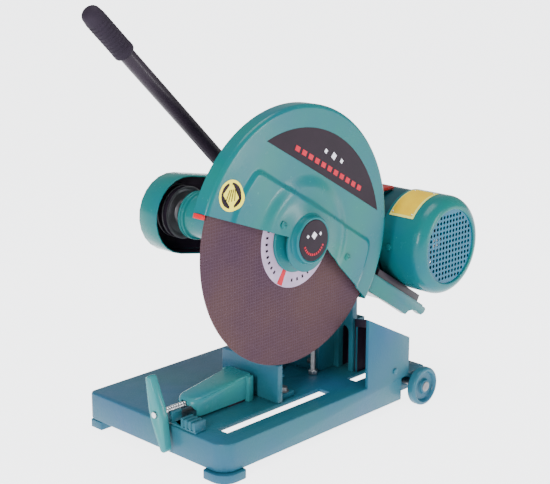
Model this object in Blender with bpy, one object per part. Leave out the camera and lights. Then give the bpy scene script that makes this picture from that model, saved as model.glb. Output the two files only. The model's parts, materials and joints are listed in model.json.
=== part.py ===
"""Belt driven abrasive chop saw, 400 mm wheel, modelled at real size in metres, +Z up.

The saw is laid out on its base: x = 0 is the base's side next to the wheel guard, y = 0 is
the base's front, where the vise lever is, and z = 0 is the floor. The spindle, the motor and
the head's pivot all run along X. At the end everything is moved so that the origin lies on
the floor under the middle of the machine.
"""
import math

import bmesh
import bpy
from mathutils import Matrix, Vector

GAP = 0.0003  # air between two pieces that touch

# Base: a hollow casting, open below
BASE_WIDTH = 0.3155
BASE_LENGTH = 0.478
DECK_TOP = 0.0595
SKIRT_BOTTOM = 0.0142
WALL = 0.006
NEAR_CORNER_RADIUS = 0.026
FAR_CORNER_RADIUS = 0.012
REAR_CORNER_RADIUS = 0.008
SLOT_X = (-0.0575, -0.0345)
FRONT_SLOT_Y = (0.040, 0.270)
REAR_SLOT_Y = (0.335, 0.424)
FOOT_SIZE = 0.045

# Rear wheels, outside the base's long sides
WHEEL_RADIUS = 0.0327
WHEEL_WIDTH = 0.0150
WHEEL_STANDOFF = 0.0060
WHEEL_Y = 0.4522
AXLE_RADIUS = 0.006

# Axes of the head, each (y, z)
PIVOT = (0.352, 0.235)
SPINDLE = (0.198, 0.3265)
MOTOR = (0.526, 0.261)
TABLE_TILT = math.radians(32.3)
TABLE_START = (0.3965, 0.2263)  # a point on the motor table's upper face

# Cutting wheel, 400 mm when new and slightly worn, and the spindle
DISC_X = -0.0465
DISC_RADIUS = 0.198
DISC_THICKNESS = 0.0032
FLANGE_RADIUS = 0.051
FLANGE_THICKNESS = 0.009
SHAFT_RADIUS = 0.015

# Wheel guard
GUARD_RADIUS = 0.2085
GUARD_SHEET = 0.0025
GUARD_X = (-0.062, -0.0320)
BULGE_RADIUS = 0.099
BULGE_HEIGHT = 0.009
HUB_RADIUS = 0.0375
HUB_FRONT_X = -0.0055
FRONT_CUT = math.radians(159.4)

# Belt drive
COVER_X = (-0.3325, -0.2895)
COVER_RADIUS = 0.066
COVER_NOSE = (0.195, 0.323)
SPINDLE_PULLEY_RADIUS = 0.0445
MOTOR_PULLEY_RADIUS = 0.0352
PULLEY_X = (-0.3160, -0.2910)
SHAFT_END_X = -0.3215
GROOVE_DEPTH = 0.009
BELT_TOP_WIDTH = 0.0094
BELT_BOTTOM_WIDTH = 0.0056
BELT_HEIGHT = 0.0075
BELT_OFFSETS = (-0.006, 0.006)

# Motor
MOTOR_RADIUS = 0.082
COWL_RADIUS = 0.085
COWL_X = (-0.078, 0.010)
MOTOR_BODY_X = (-0.236, -0.0785)
ROTOR_SHAFT_RADIUS = 0.012

# Terminal box on the motor's front shoulder
BOX_X = (-0.212, -0.110)
BOX_Y = (0.452, 0.514)
BOX_TOP = 0.3435
LID_TOP = BOX_TOP + 0.006
KEY_CENTRE = (-0.166, 0.483)
KEY_AXIS = LID_TOP + 0.0023

# Handle
HANDLE_X = -0.180
HANDLE_FOOT = (0.2445, 0.360)
HANDLE_TIP = (-0.083, 0.683)
HANDLE_RADIUS = 0.012
GRIP_LENGTH = 0.093

# Return spring and depth stop, both standing on the deck at (x, y)
SPRING_PLACE = (-0.178, 0.290)
SPRING_ENDS = (DECK_TOP + 0.0075, 0.2385)
STOP_PLACE = (-0.1090, 0.3125)
STOP_TOP = 0.1900

# Vise
SCREW_X = -0.1275
SCREW_Z = 0.080
SLIDE_X = (-0.1515, -0.1035)
SLIDE_Y = (0.0360, 0.1575)
SLIDE_BOTTOM = 0.0635
SLIDE_TOPS = (0.0895, 0.1040)
SCREW_RADIUS = 0.0055
FIXED_JAW_X = (-0.185, -0.0585)
FIXED_JAW_Y = (0.1742, 0.1852)
JAW_TOP = 0.123
JAW_BOLT_X = (-0.0765, -0.169)
JAW_BOLT_Y = 0.2032
JAW_SWIVEL = math.radians(45)

PAINT = ("teal_paint", (0.07, 0.36, 0.38), 0.35, 0.0)
DARK_PAINT = ("dark_teal_paint", (0.03, 0.16, 0.17), 0.45, 0.0)
BLACK_PAINT = ("black_paint", (0.015, 0.014, 0.018), 0.5, 0.0)
STEEL = ("steel", (0.46, 0.46, 0.47), 0.35, 1.0)
DARK_STEEL = ("dark_steel", (0.12, 0.12, 0.13), 0.45, 1.0)
RUBBER = ("rubber", (0.03, 0.028, 0.034), 0.8, 0.0)
ABRASIVE = ("abrasive", (0.17, 0.12, 0.16), 0.95, 0.0)
YELLOW = ("yellow_plate", (0.75, 0.62, 0.13), 0.5, 0.0)
RED = ("red_rubber", (0.45, 0.05, 0.06), 0.6, 0.0)
COPPER = ("copper_winding", (0.55, 0.25, 0.12), 0.4, 1.0)
PLASTIC = ("dark_plastic", (0.05, 0.05, 0.055), 0.5, 0.0)


# ---------------------------------------------------------------- helpers

def material(spec):
    """One Principled material per finish, made on first use."""
    name, colour, roughness, metallic = spec
    found = bpy.data.materials.get(name)
    if found:
        return found
    made = bpy.data.materials.new(name)
    made.use_nodes = True
    shader = made.node_tree.nodes["Principled BSDF"]
    shader.inputs["Base Color"].default_value = (*colour, 1.0)
    shader.inputs["Roughness"].default_value = roughness
    shader.inputs["Metallic"].default_value = metallic
    return made


def finish(name, bm, spec):
    """Turn a bmesh into a named, shaded object with outward faces."""
    bmesh.ops.recalc_face_normals(bm, faces=bm.faces)
    mesh = bpy.data.meshes.new(name)
    bm.to_mesh(mesh)
    bm.free()
    mesh.shade_smooth()
    mesh.set_sharp_from_angle(angle=math.radians(32))
    mesh.materials.append(material(spec))
    made = bpy.data.objects.new(name, mesh)
    bpy.context.scene.collection.objects.link(made)
    return made


def apply_boolean(target, tool, operation):
    """Cut or join with an exact Boolean, then drop the tool."""
    modifier = target.modifiers.new("boolean", "BOOLEAN")
    modifier.operation = operation
    modifier.solver = "EXACT"
    modifier.object = tool
    graph = bpy.context.evaluated_depsgraph_get()
    mesh = bpy.data.meshes.new_from_object(target.evaluated_get(graph))
    target.modifiers.clear()
    target.data = mesh
    mesh.name = target.name
    bpy.data.objects.remove(tool)
    return target


def cut(target, *tools):
    """Take each tool away from the target."""
    for tool in tools:
        apply_boolean(target, tool, "DIFFERENCE")
    return target


def join(target, *tools):
    """Weld each tool onto the target."""
    for tool in tools:
        apply_boolean(target, tool, "UNION")
    return target


def bevel(obj, width, segments=2):
    """Round every edge sharper than 35 degrees."""
    modifier = obj.modifiers.new("bevel", "BEVEL")
    modifier.width = width
    modifier.segments = segments
    modifier.limit_method = "ANGLE"
    modifier.angle_limit = math.radians(35)
    graph = bpy.context.evaluated_depsgraph_get()
    mesh = bpy.data.meshes.new_from_object(obj.evaluated_get(graph))
    obj.modifiers.clear()
    obj.data = mesh
    return obj


def prism(name, outline, span, spec, axis="x"):
    """Extrude a closed 2-D outline along one axis.

    The outline is (y, z) for axis x, (x, z) for axis y and (x, y) for axis z.
    """
    def place(point, along):
        a, b = point
        return {"x": (along, a, b), "y": (a, along, b), "z": (a, b, along)}[axis]

    bm = bmesh.new()
    rings = [[bm.verts.new(place(p, along)) for p in outline] for along in span]
    bm.faces.new(rings[0])
    bm.faces.new(rings[1])
    count = len(outline)
    for i in range(count):
        j = (i + 1) % count
        bm.faces.new((rings[0][i], rings[0][j], rings[1][j], rings[1][i]))
    return finish(name, bm, spec)


def box(name, low, high, spec):
    """A block between two opposite corners."""
    outline = [(low[0], low[1]), (high[0], low[1]), (high[0], high[1]), (low[0], high[1])]
    return prism(name, outline, (low[2], high[2]), spec, axis="z")


def turned(name, profile, centre, spec, axis="x", segments=24, closed=False):
    """Revolve (along, radius) points about an axis through centre.

    An open profile starts and ends on the axis or gets flat caps; a closed one is a ring.
    """
    bm = bmesh.new()
    rings = []
    for along, radius in profile:
        if radius < 1e-6 and not closed:
            rings.append([bm.verts.new(axis_point(along, 0.0, 0.0, centre, axis))])
            continue
        ring = []
        for i in range(segments):
            angle = 2 * math.pi * i / segments
            point = axis_point(along, radius * math.cos(angle), radius * math.sin(angle),
                               centre, axis)
            ring.append(bm.verts.new(point))
        rings.append(ring)
    pairs = list(zip(rings, rings[1:]))
    if closed:
        pairs.append((rings[-1], rings[0]))
    for first, second in pairs:
        bridge(bm, first, second)
    if not closed:
        for ring in (rings[0], rings[-1]):
            if len(ring) > 1:
                bm.faces.new(ring)
    return finish(name, bm, spec)


def axis_point(along, a, b, centre, axis):
    """A point at (along, a, b) in the axis's own frame; centre is in the other two axes."""
    if axis == "x":
        return (along, centre[0] + a, centre[1] + b)
    if axis == "y":
        return (centre[0] + a, along, centre[1] + b)
    return (centre[0] + a, centre[1] + b, along)


def bridge(bm, first, second):
    """Join two rings of a turned shape; a ring of one vertex is a pole."""
    count = max(len(first), len(second))
    for i in range(count):
        j = (i + 1) % count
        corners = [first[i % len(first)], first[j % len(first)],
                   second[j % len(second)], second[i % len(second)]]
        unique = []
        for corner in corners:
            if corner not in unique:
                unique.append(corner)
        bm.faces.new(unique)


def rod(name, start, end, radius, spec, segments=20, end_radius=None):
    """A straight round bar between two points in space."""
    start, end = Vector(start), Vector(end)
    direction = end - start
    bm = bmesh.new()
    bmesh.ops.create_cone(bm, cap_ends=True, segments=segments, radius1=radius,
                          radius2=end_radius or radius, depth=direction.length)
    turn = direction.to_track_quat("Z", "Y").to_matrix().to_4x4()
    bmesh.ops.transform(bm, matrix=Matrix.Translation((start + end) / 2) @ turn,
                        verts=bm.verts)
    return finish(name, bm, spec)


def hexagon(centre, radius, turn=0.0):
    """Outline of a nut or a bolt head; radius is to its corners."""
    steps = [math.radians(60 * i) + turn for i in range(6)]
    return [(centre[0] + radius * math.cos(a), centre[1] + radius * math.sin(a)) for a in steps]


def rounded_rectangle(low, high, radii, steps=5):
    """Outline with one radius per corner: low-low, high-low, high-high, low-high."""
    corners = [(low[0], low[1], 180), (high[0], low[1], 270),
               (high[0], high[1], 0), (low[0], high[1], 90)]
    outline = []
    for (x, y, start), radius in zip(corners, radii):
        cx = x + radius if x == low[0] else x - radius
        cy = y + radius if y == low[1] else y - radius
        for i in range(steps + 1):
            angle = math.radians(start + 90 * i / steps)
            outline.append((cx + radius * math.cos(angle), cy + radius * math.sin(angle)))
    return outline


def on_table(s, height):
    """(y, z) of a point s along the motor table and height above its upper face."""
    y = TABLE_START[0] + s * math.cos(TABLE_TILT) + height * math.sin(TABLE_TILT)
    z = TABLE_START[1] - s * math.sin(TABLE_TILT) + height * math.cos(TABLE_TILT)
    return (y, z)


def table_block(name, s_span, height_span, x_span, spec):
    """A box square to the tilted motor table."""
    outline = [on_table(s_span[0], height_span[0]), on_table(s_span[1], height_span[0]),
               on_table(s_span[1], height_span[1]), on_table(s_span[0], height_span[1])]
    return prism(name, outline, x_span, spec)


# ---------------------------------------------------------------- base

def make_base():
    """Deck with skirts, both slots, the spark chute and the axle's inner walls, one casting."""
    radii = (FAR_CORNER_RADIUS, NEAR_CORNER_RADIUS, REAR_CORNER_RADIUS, REAR_CORNER_RADIUS)
    outer = rounded_rectangle((-BASE_WIDTH, 0.0), (0.0, BASE_LENGTH), radii)
    base = prism("base_frame", outer, (SKIRT_BOTTOM, DECK_TOP), PAINT, axis="z")
    bevel(base, 0.003)
    inner_radii = [r - WALL if r > WALL else 0.002 for r in radii]
    inner = rounded_rectangle((-BASE_WIDTH + WALL, WALL), (-WALL, BASE_LENGTH - WALL),
                              inner_radii)
    cut(base, prism("pocket", inner, (0.0, DECK_TOP - WALL), PAINT, axis="z"))
    for y_span in (FRONT_SLOT_Y, REAR_SLOT_Y):
        cut(base, box("slot", (SLOT_X[0], y_span[0], 0.03), (SLOT_X[1], y_span[1], 0.08),
                      PAINT))
    # wheel recesses: the side wall steps inwards behind each wheel
    for side in (0.0, -BASE_WIDTH):
        inward = -1 if side == 0.0 else 1
        edge, deep = side - inward * 0.01, side + inward * 0.026
        cut(base, box("recess", (min(edge, deep), 0.412, 0.0),
                      (max(edge, deep), 0.470, DECK_TOP - WALL), PAINT))
        wall = (side + inward * 0.026, side + inward * 0.033)
        join(base, box("axle_wall", (min(wall), 0.404, SKIRT_BOTTOM),
                       (max(wall), 0.4745, DECK_TOP - 0.003), PAINT))
        web = (side + inward * 0.002, side + inward * 0.030)
        join(base, box("recess_web", (min(web), 0.4065, SKIRT_BOTTOM + 0.0004),
                       (max(web), 0.4125, DECK_TOP - 0.003), PAINT))
    join(base, spark_chute())
    cup = [(DECK_TOP - 0.003, 0.0), (DECK_TOP - 0.003, 0.018), (DECK_TOP + 0.012, 0.018),
           (DECK_TOP + 0.012, 0.0155), (DECK_TOP + 0.007, 0.0155), (DECK_TOP + 0.007, 0.0)]
    join(base, turned("spring_cup", cup, SPRING_PLACE, PAINT, axis="z", segments=20))
    cut(base, rod("stop_bore", (*STOP_PLACE, 0.03), (*STOP_PLACE, 0.08), 0.0045 + GAP, PAINT,
                  segments=16))
    pivot_x = JAW_BOLT_X[0]
    cut(base, rod("jaw_bolt_bore", (pivot_x, JAW_BOLT_Y, 0.03), (pivot_x, JAW_BOLT_Y, 0.08),
                  0.005 + GAP, PAINT, segments=18),
        prism("jaw_slot", jaw_slot_outline(), (0.03, 0.08), PAINT, axis="z"))
    bores = [rod("bore", (-0.32, WHEEL_Y, WHEEL_RADIUS), (0.01, WHEEL_Y, WHEEL_RADIUS),
                 AXLE_RADIUS + GAP, PAINT)]
    cut(base, *bores)
    return base


def jaw_slot_outline(steps=8):
    """Arc slot in the deck for the fixed jaw's outer bolt, about the jaw's pivot bolt."""
    middle, half_width = JAW_BOLT_X[0] - JAW_BOLT_X[1], 0.005 + 2 * GAP
    over = half_width / middle
    start, stop = math.pi + over, math.pi - JAW_SWIVEL - over
    outline = []
    for radius, first, last in ((middle + half_width, start, stop),
                                (middle - half_width, stop, start)):
        for i in range(steps + 1):
            angle = first + (last - first) * i / steps
            outline.append((JAW_BOLT_X[0] + radius * math.cos(angle),
                            JAW_BOLT_Y + radius * math.sin(angle)))
    return outline


def spark_chute():
    """Spark chute over the rear slot: open to the front and below, with a sloping top."""
    front, rear, mouth = 0.324, 0.431, 0.369
    far_x, skin, wall = -0.0665, 0.0055, 0.005
    top, slope = 0.176, -0.514
    below = DECK_TOP - 0.003

    def roof(y, drop=0.0):
        return (y, top + slope * (y - front) - drop)

    channel = prism("spark_chute", [(front, below), roof(front), roof(rear), (rear, below)],
                    (far_x, 0.0), PAINT)
    before, inner_rear, sheet = front - 0.02, rear - wall, wall / math.cos(math.atan(slope))
    hollow = [(before, below - 0.01), roof(before, sheet), roof(inner_rear, sheet),
              (inner_rear, below - 0.01)]
    corner = [(far_x - 0.01, before), (-skin, before), (-skin, front), (far_x, mouth),
              (far_x - 0.01, mouth)]
    return cut(channel, prism("hollow", hollow, (far_x + wall, -skin), PAINT),
               prism("corner", corner, (0.0, 0.25), PAINT, axis="z"))


def make_feet():
    """A square pad under the near corner and a narrow one under the far corner."""
    top = SKIRT_BOTTOM - GAP
    near = rounded_rectangle((-0.0425, -0.0060), (0.0060, 0.0425), (0.006, 0.026, 0.006, 0.006))
    prism("front_foot_near", near, (0.0, top), PAINT, axis="z")
    far_x = -BASE_WIDTH + 0.004
    far = rounded_rectangle((far_x, 0.0005), (far_x + 0.026, 0.0425), (0.0015,) * 4, steps=3)
    prism("front_foot_far", far, (0.0, top), PAINT, axis="z")


def make_wheels():
    """A riveted axle across the base, and a dished wheel on each end of it."""
    head = WHEEL_STANDOFF + WHEEL_WIDTH
    axle = [(-BASE_WIDTH - head - 0.0015, 0.0), (-BASE_WIDTH - head - 0.0015, 0.004),
            (-BASE_WIDTH - head - 0.001, 0.0075), (-BASE_WIDTH - head, 0.0085),
            (-BASE_WIDTH - head, AXLE_RADIUS), (head, AXLE_RADIUS), (head, 0.0085),
            (head + 0.001, 0.0075), (head + 0.0015, 0.004), (head + 0.0015, 0.0)]
    turned("wheel_axle", axle, (WHEEL_Y, WHEEL_RADIUS), DARK_STEEL, segments=16)
    bore = AXLE_RADIUS + GAP
    tread, rim, hub = WHEEL_RADIUS, 0.0255, 0.0115
    profile = [(0.0, bore), (0.0, tread - 0.002), (0.002, tread),
               (WHEEL_WIDTH - 0.002, tread), (WHEEL_WIDTH, tread - 0.003),
               (WHEEL_WIDTH, rim + 0.003), (WHEEL_WIDTH - 0.006, rim - 0.001),
               (WHEEL_WIDTH - 0.005, hub + 0.003), (WHEEL_WIDTH - 0.0005, hub),
               (WHEEL_WIDTH - 0.0005, bore)]
    for name, start, direction in (("rear_wheel_near", WHEEL_STANDOFF, 1),
                                   ("rear_wheel_far", -BASE_WIDTH - WHEEL_STANDOFF, -1)):
        placed = [(start + direction * along, radius) for along, radius in profile]
        turned(name, placed, (WHEEL_Y, WHEEL_RADIUS), PAINT, segments=28, closed=True)


# ---------------------------------------------------------------- pivot bracket

def upright_outline(front, rear):
    """Side plate from the deck up to a round eye about the pivot."""
    eye = 0.026
    points = [(front, DECK_TOP + GAP), (rear, DECK_TOP + GAP)]
    for i in range(13):
        angle = math.radians(180 * i / 12)
        points.append((PIVOT[0] + eye * math.cos(angle), PIVOT[1] + eye * math.sin(angle)))
    return points


def make_pivot_bracket():
    """Two uprights on a foot, tied by a cross web, with an arched wall next to the wheel."""
    bracket = prism("pivot_bracket", upright_outline(0.326, 0.378), (-0.119, -0.1085), PAINT)
    wall = [(-0.110, DECK_TOP + GAP), (-0.0985, DECK_TOP + GAP), (-0.0985, 0.127)]
    for i in range(1, 9):
        angle = math.radians(180 - 180 * i / 8)
        wall.append((-0.0875 + 0.011 * math.cos(angle), 0.127 + 0.011 * math.sin(angle)))
    wall += [(-0.0765, DECK_TOP + GAP), (-0.067, DECK_TOP + GAP), (-0.069, 0.195),
             (-0.110, 0.215)]
    join(bracket, prism("arch_wall", wall, (0.364, 0.376), PAINT, axis="y"),
         arch_recess())
    join(bracket, prism("far_upright", upright_outline(0.326, 0.378), (-0.245, -0.2345),
                        PAINT))
    join(bracket, box("bracket_foot", (-0.262, 0.321, DECK_TOP + GAP),
                      (-0.118, 0.398, DECK_TOP + 0.009), PAINT))
    join(bracket, box("bracket_web", (-0.236, 0.347, DECK_TOP + 0.005),
                      (-0.117, 0.357, 0.178), PAINT))
    cut(bracket, rod("bore", (-0.30, *PIVOT), (-0.05, *PIVOT), 0.010 + GAP, PAINT))
    return bracket


def arch_recess():
    """Hollow box behind the arch, which closes it at the back."""
    low, high = (-0.1060, 0.374, DECK_TOP + GAP), (-0.0690, 0.396, 0.150)
    recess = box("arch_recess", low, high, PAINT)
    wall = 0.004
    return cut(recess, box("hollow", (low[0] + wall, low[1] - 0.01, 0.0),
                           (high[0] - wall, high[1] - wall, high[2] - wall), PAINT))


def make_pivot_parts():
    """Headed pivot pin with its nut, and the two bolts of the bracket's foot."""
    turned("pivot_shaft", [(-0.2515, 0.0), (-0.2515, 0.0165), (-0.2455, 0.0165),
                           (-0.2455, 0.010), (-0.1010, 0.010), (-0.1010, 0.0)], PIVOT,
           DARK_STEEL, segments=24)
    nut = prism("pivot_nut", hexagon(PIVOT, 0.0185), (-0.1082, -0.1022), DARK_STEEL)
    cut(nut, rod("bore", (-0.30, *PIVOT), (-0.05, *PIVOT), 0.010 + GAP, DARK_STEEL, segments=24))
    for name, x in (("bracket_bolt_near", -0.133), ("bracket_bolt_far", -0.222)):
        prism(name, hexagon((x, 0.334), 0.0075), (DECK_TOP + 0.009 + GAP, DECK_TOP + 0.0145),
              DARK_STEEL, axis="z")


# ---------------------------------------------------------------- rocker

def make_rocker():
    """The casting that swings on the pivot: front arm, pivot tube and motor table."""
    arm = [(0.336, 0.216), (0.372, 0.250), (0.345, 0.300), (0.285, 0.354), (0.238, 0.372),
           (0.215, 0.352), (0.212, 0.300), (0.262, 0.272)]
    rocker = prism("rocker_arm", arm, (-0.212, -0.142), PAINT)
    join(rocker, turned("pivot_tube", [(-0.2342, 0.0), (-0.2342, 0.024), (-0.1193, 0.024),
                                       (-0.1193, 0.0)], PIVOT, PAINT, segments=28))
    join(rocker, table_block("table_plate", (-0.012, 0.150), (-0.010, 0.0), (-0.216, -0.044),
                             PAINT))
    join(rocker, table_block("table_lip", (-0.030, -0.008), (-0.009, -0.0005),
                             (-0.097, -0.044), PAINT))
    near, far = (-0.050, -0.040), (-0.219, -0.209)
    for span in (near, far):
        join(rocker, prism("table_flange", flange_outline(), span, PAINT))
    lug = [(0.2858, 0.2185), (0.3055, 0.2089), (0.3180, 0.2400), (0.3000, 0.2620)]
    join(rocker, prism("stop_lug", lug, (-0.1500, -0.0990), PAINT))
    neck = [(0.336, 0.226), (0.352, 0.256), (0.392, 0.224), (0.428, 0.196), (0.420, 0.186),
            (0.372, 0.205)]
    join(rocker, prism("table_neck", neck, (-0.205, -0.149), PAINT))
    side = [(0.250, 0.290), (0.262, 0.346), (0.330, 0.322), (0.410, 0.296), (0.420, 0.262),
            (0.415, 0.212), (0.375, 0.205), (0.330, 0.240)]
    join(rocker, prism("cover_side_plate", side, (-0.2195, -0.211), PAINT))
    socket_axis = Vector((HANDLE_X, *HANDLE_TIP)) - Vector((HANDLE_X, *HANDLE_FOOT))
    foot = Vector((HANDLE_X, *HANDLE_FOOT))
    way = socket_axis.normalized()
    join(rocker, rod("handle_socket", foot - way * 0.012, foot + way * 0.030, 0.0185, PAINT))
    cut(rocker, rod("socket_bore", foot, foot + way * 0.05, HANDLE_RADIUS + GAP, PAINT),
        rod("pivot_bore", (-0.26, *PIVOT), (-0.10, *PIVOT), 0.010 + GAP, PAINT),
        rod("housing_seat", (-0.30, *SPINDLE), (-0.05, *SPINDLE), 0.036 + GAP, PAINT,
            segments=40),
        rod("guard_clearance", (-0.064, *SPINDLE), (-0.030, *SPINDLE),
            GUARD_RADIUS + 0.0015, PAINT, segments=64))
    seat = SPRING_ENDS[1] + GAP
    join(rocker, turned("spring_pad", [(seat, 0.0), (seat, 0.0155), (seat + 0.004, 0.0155),
                                       (seat + 0.045, 0.012), (seat + 0.045, 0.0)],
                        SPRING_PLACE, PAINT, axis="z", segments=20))
    for centre in stud_centres():
        cut(rocker, rod("stud_bore", (-0.23, *centre), (-0.20, *centre), 0.006 + GAP, PAINT))
    return rocker


def flange_outline():
    """Side flange of the motor table, with the tensioner's hook at its low end."""
    shape = [(-0.012, -0.0305), (0.1064, -0.0317), (0.1115, -0.0240), (0.1207, -0.0185),
             (0.1320, -0.0162), (0.1410, -0.0175), (0.1496, -0.0178), (0.1550, -0.0120),
             (0.1563, -0.0060), (0.1540, -0.0030), (-0.012, -0.0030)]
    return [on_table(s, height) for s, height in shape]


def stud_centres():
    """(y, z) of the two studs that carry the belt cover, on the line between both shafts."""
    return [tuple(SPINDLE[i] + (MOTOR[i] - SPINDLE[i]) * part for i in (0, 1))
            for part in (0.30, 0.58)]


# ---------------------------------------------------------------- spindle

def make_spindle():
    """Bearing tube with its end flanges, two bearings, the shaft and the wheel on its flanges."""
    bearing_outer, bearing_width = 0.026, 0.015
    near, far = -0.0745, -0.2695
    seat = bearing_outer + GAP
    housing = [(near, 0.0168), (near, 0.043), (near - 0.010, 0.043), (near - 0.012, 0.036),
               (far + 0.016, 0.036), (far + 0.014, 0.043), (far, 0.043), (far, seat),
               (near - 0.003, seat), (near - 0.003, 0.0168)]
    turned("spindle_housing", housing, SPINDLE, PAINT, segments=28, closed=True)
    for name, start in (("spindle_bearing_near", near - 0.0033 - bearing_width),
                        ("spindle_bearing_far", far + 0.0006)):
        ring = [(start, SHAFT_RADIUS + GAP), (start, bearing_outer),
                (start + bearing_width, bearing_outer),
                (start + bearing_width, SHAFT_RADIUS + GAP)]
        turned(name, ring, SPINDLE, STEEL, segments=20, closed=True)
    turned("spindle_shaft", [(SHAFT_END_X, 0.0), (SHAFT_END_X, SHAFT_RADIUS),
                             (-0.0145, SHAFT_RADIUS),
                             (-0.0135, SHAFT_RADIUS - 0.001), (-0.0135, 0.0)],
           SPINDLE, STEEL, segments=20)
    half = DISC_THICKNESS / 2
    bore = SHAFT_RADIUS + GAP
    turned("cutting_wheel", [(DISC_X - half, bore), (DISC_X - half, DISC_RADIUS),
                             (DISC_X + half, DISC_RADIUS), (DISC_X + half, bore)],
           SPINDLE, ABRASIVE, segments=56, closed=True)
    for name, start, direction in (("outer_flange", DISC_X + half + GAP, 1),
                                   ("inner_flange", DISC_X - half - GAP, -1)):
        rim = [(0.0, bore), (0.0, FLANGE_RADIUS), (FLANGE_THICKNESS * 0.5, FLANGE_RADIUS),
               (FLANGE_THICKNESS, FLANGE_RADIUS - 0.012), (FLANGE_THICKNESS, bore)]
        turned(name, [(start + direction * a, r) for a, r in rim], SPINDLE,
               PAINT if direction == 1 else STEEL, segments=28, closed=True)
    nut_start = DISC_X + half + FLANGE_THICKNESS + 2 * GAP
    nut = prism("spindle_nut", hexagon(SPINDLE, 0.026), (nut_start, nut_start + 0.016), STEEL)
    cut(nut, rod("bore", (-0.1, *SPINDLE), (0.0, *SPINDLE), bore, STEEL, segments=20))


# ---------------------------------------------------------------- guard

def below_guard(name, front_angle, rear_offset, rear_angle):
    """The wedge below the spindle that a guard sheet leaves open."""
    reach = 0.34
    y0, z0 = SPINDLE
    front = (y0 + reach * math.cos(front_angle), z0 + reach * math.sin(front_angle))
    rear_start = (y0 + rear_offset, z0)
    rear = (rear_start[0] + reach * math.cos(rear_angle),
            rear_start[1] + reach * math.sin(rear_angle))
    outline = [(y0, z0), front, (y0 - reach, z0 - reach), (rear[0], z0 - reach), rear,
               rear_start]
    return prism(name, outline, (-0.09, 0.02), PAINT)


def make_guard():
    """Pressed cover in front of the wheel with its rim, and the flat back sheet."""
    back, front = GUARD_X
    sheet = GUARD_SHEET
    outer = GUARD_RADIUS
    crown = front + BULGE_HEIGHT
    profile = [(back, outer - sheet), (back, outer), (front - 0.006, outer),
               (front, outer - 0.006), (front, BULGE_RADIUS + 0.004),
               (crown, BULGE_RADIUS - 0.008), (crown, HUB_RADIUS - 0.004),
               (crown - sheet, HUB_RADIUS - 0.004), (crown - sheet, BULGE_RADIUS - 0.010),
               (front - sheet, BULGE_RADIUS + 0.001), (front - sheet, outer - sheet - 0.004),
               (front - 0.004 - sheet, outer - sheet)]
    guard = turned("guard_shell", profile, SPINDLE, PAINT, segments=60, closed=True)
    wedge = below_guard("wedge", FRONT_CUT, 0.027, math.radians(-44))
    hub_disc = turned("hub_disc", [(-0.1, 0.0), (-0.1, 0.046), (0.03, 0.046), (0.03, 0.0)],
                      SPINDLE, PAINT, segments=32)
    cut(wedge, hub_disc)
    cut(guard, wedge)
    sheet_profile = [(back, 0.030), (back, outer - sheet - GAP),
                     (back + 0.002, outer - sheet - GAP), (back + 0.002, 0.030)]
    sheet_back = turned("guard_back_sheet", sheet_profile, SPINDLE, PAINT, segments=48,
                        closed=True)
    back_wedge = below_guard("back_wedge", math.radians(160.5), 0.020, math.radians(-45))
    eye = turned("eye", [(-0.1, 0.0), (-0.1, 0.050), (0.0, 0.050), (0.0, 0.0)], SPINDLE, PAINT)
    cut(back_wedge, eye)
    cut(sheet_back, back_wedge)
    make_hub_cap(crown)
    make_guard_fittings(front, crown)


def make_hub_cap(crown):
    """Round cap over the spindle's end."""
    start = crown + GAP
    turned("hub_cap", [(start, HUB_RADIUS - 0.006), (start, HUB_RADIUS + 0.002),
                       (start + 0.003, HUB_RADIUS), (HUB_FRONT_X - 0.003, HUB_RADIUS - 0.001),
                       (HUB_FRONT_X, HUB_RADIUS - 0.004), (HUB_FRONT_X, 0.0),
                       (HUB_FRONT_X - 0.0025, 0.0), (HUB_FRONT_X - 0.0025, HUB_RADIUS - 0.006)],
           SPINDLE, PAINT, segments=28, closed=True)


def make_guard_fittings(front, crown):
    """Two cover screws and the red rubber pad on the rim's front end."""
    spots = ((145, 0.062, crown), (-24, 0.113, front))
    for index, (degrees, distance, face) in enumerate(spots, start=1):
        angle = math.radians(degrees)
        centre = (SPINDLE[0] + distance * math.cos(angle),
                  SPINDLE[1] + distance * math.sin(angle))
        head = [(face + GAP, 0.0), (face + GAP, 0.0048), (face + 0.0022, 0.0042),
                (face + 0.0030, 0.0020), (face + 0.0030, 0.0)]
        turned(f"guard_screw_{index}", head, centre, STEEL, segments=12)
    inner, outer = GUARD_RADIUS - 0.0062, GUARD_RADIUS + 0.0016
    start, stop = FRONT_CUT + math.radians(0.15), FRONT_CUT + math.radians(2.1)
    outline = [(SPINDLE[0] + r * math.cos(a), SPINDLE[1] + r * math.sin(a))
               for r, a in ((inner, start), (outer, start), (outer, stop), (inner, stop))]
    prism("guard_end_pad", outline, (-0.0597, -0.0430), RED)


# ---------------------------------------------------------------- belt drive

def obround(radius, steps=12):
    """Outline round the spindle's pulley and the motor's."""
    tilt = math.atan2(MOTOR[1] - COVER_NOSE[1], MOTOR[0] - COVER_NOSE[0])
    outline = []
    for centre, start in ((COVER_NOSE, math.pi / 2), (MOTOR, -math.pi / 2)):
        for i in range(steps + 1):
            angle = tilt + start + math.pi * i / steps
            outline.append((centre[0] + radius * math.cos(angle),
                            centre[1] + radius * math.sin(angle)))
    return outline


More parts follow.
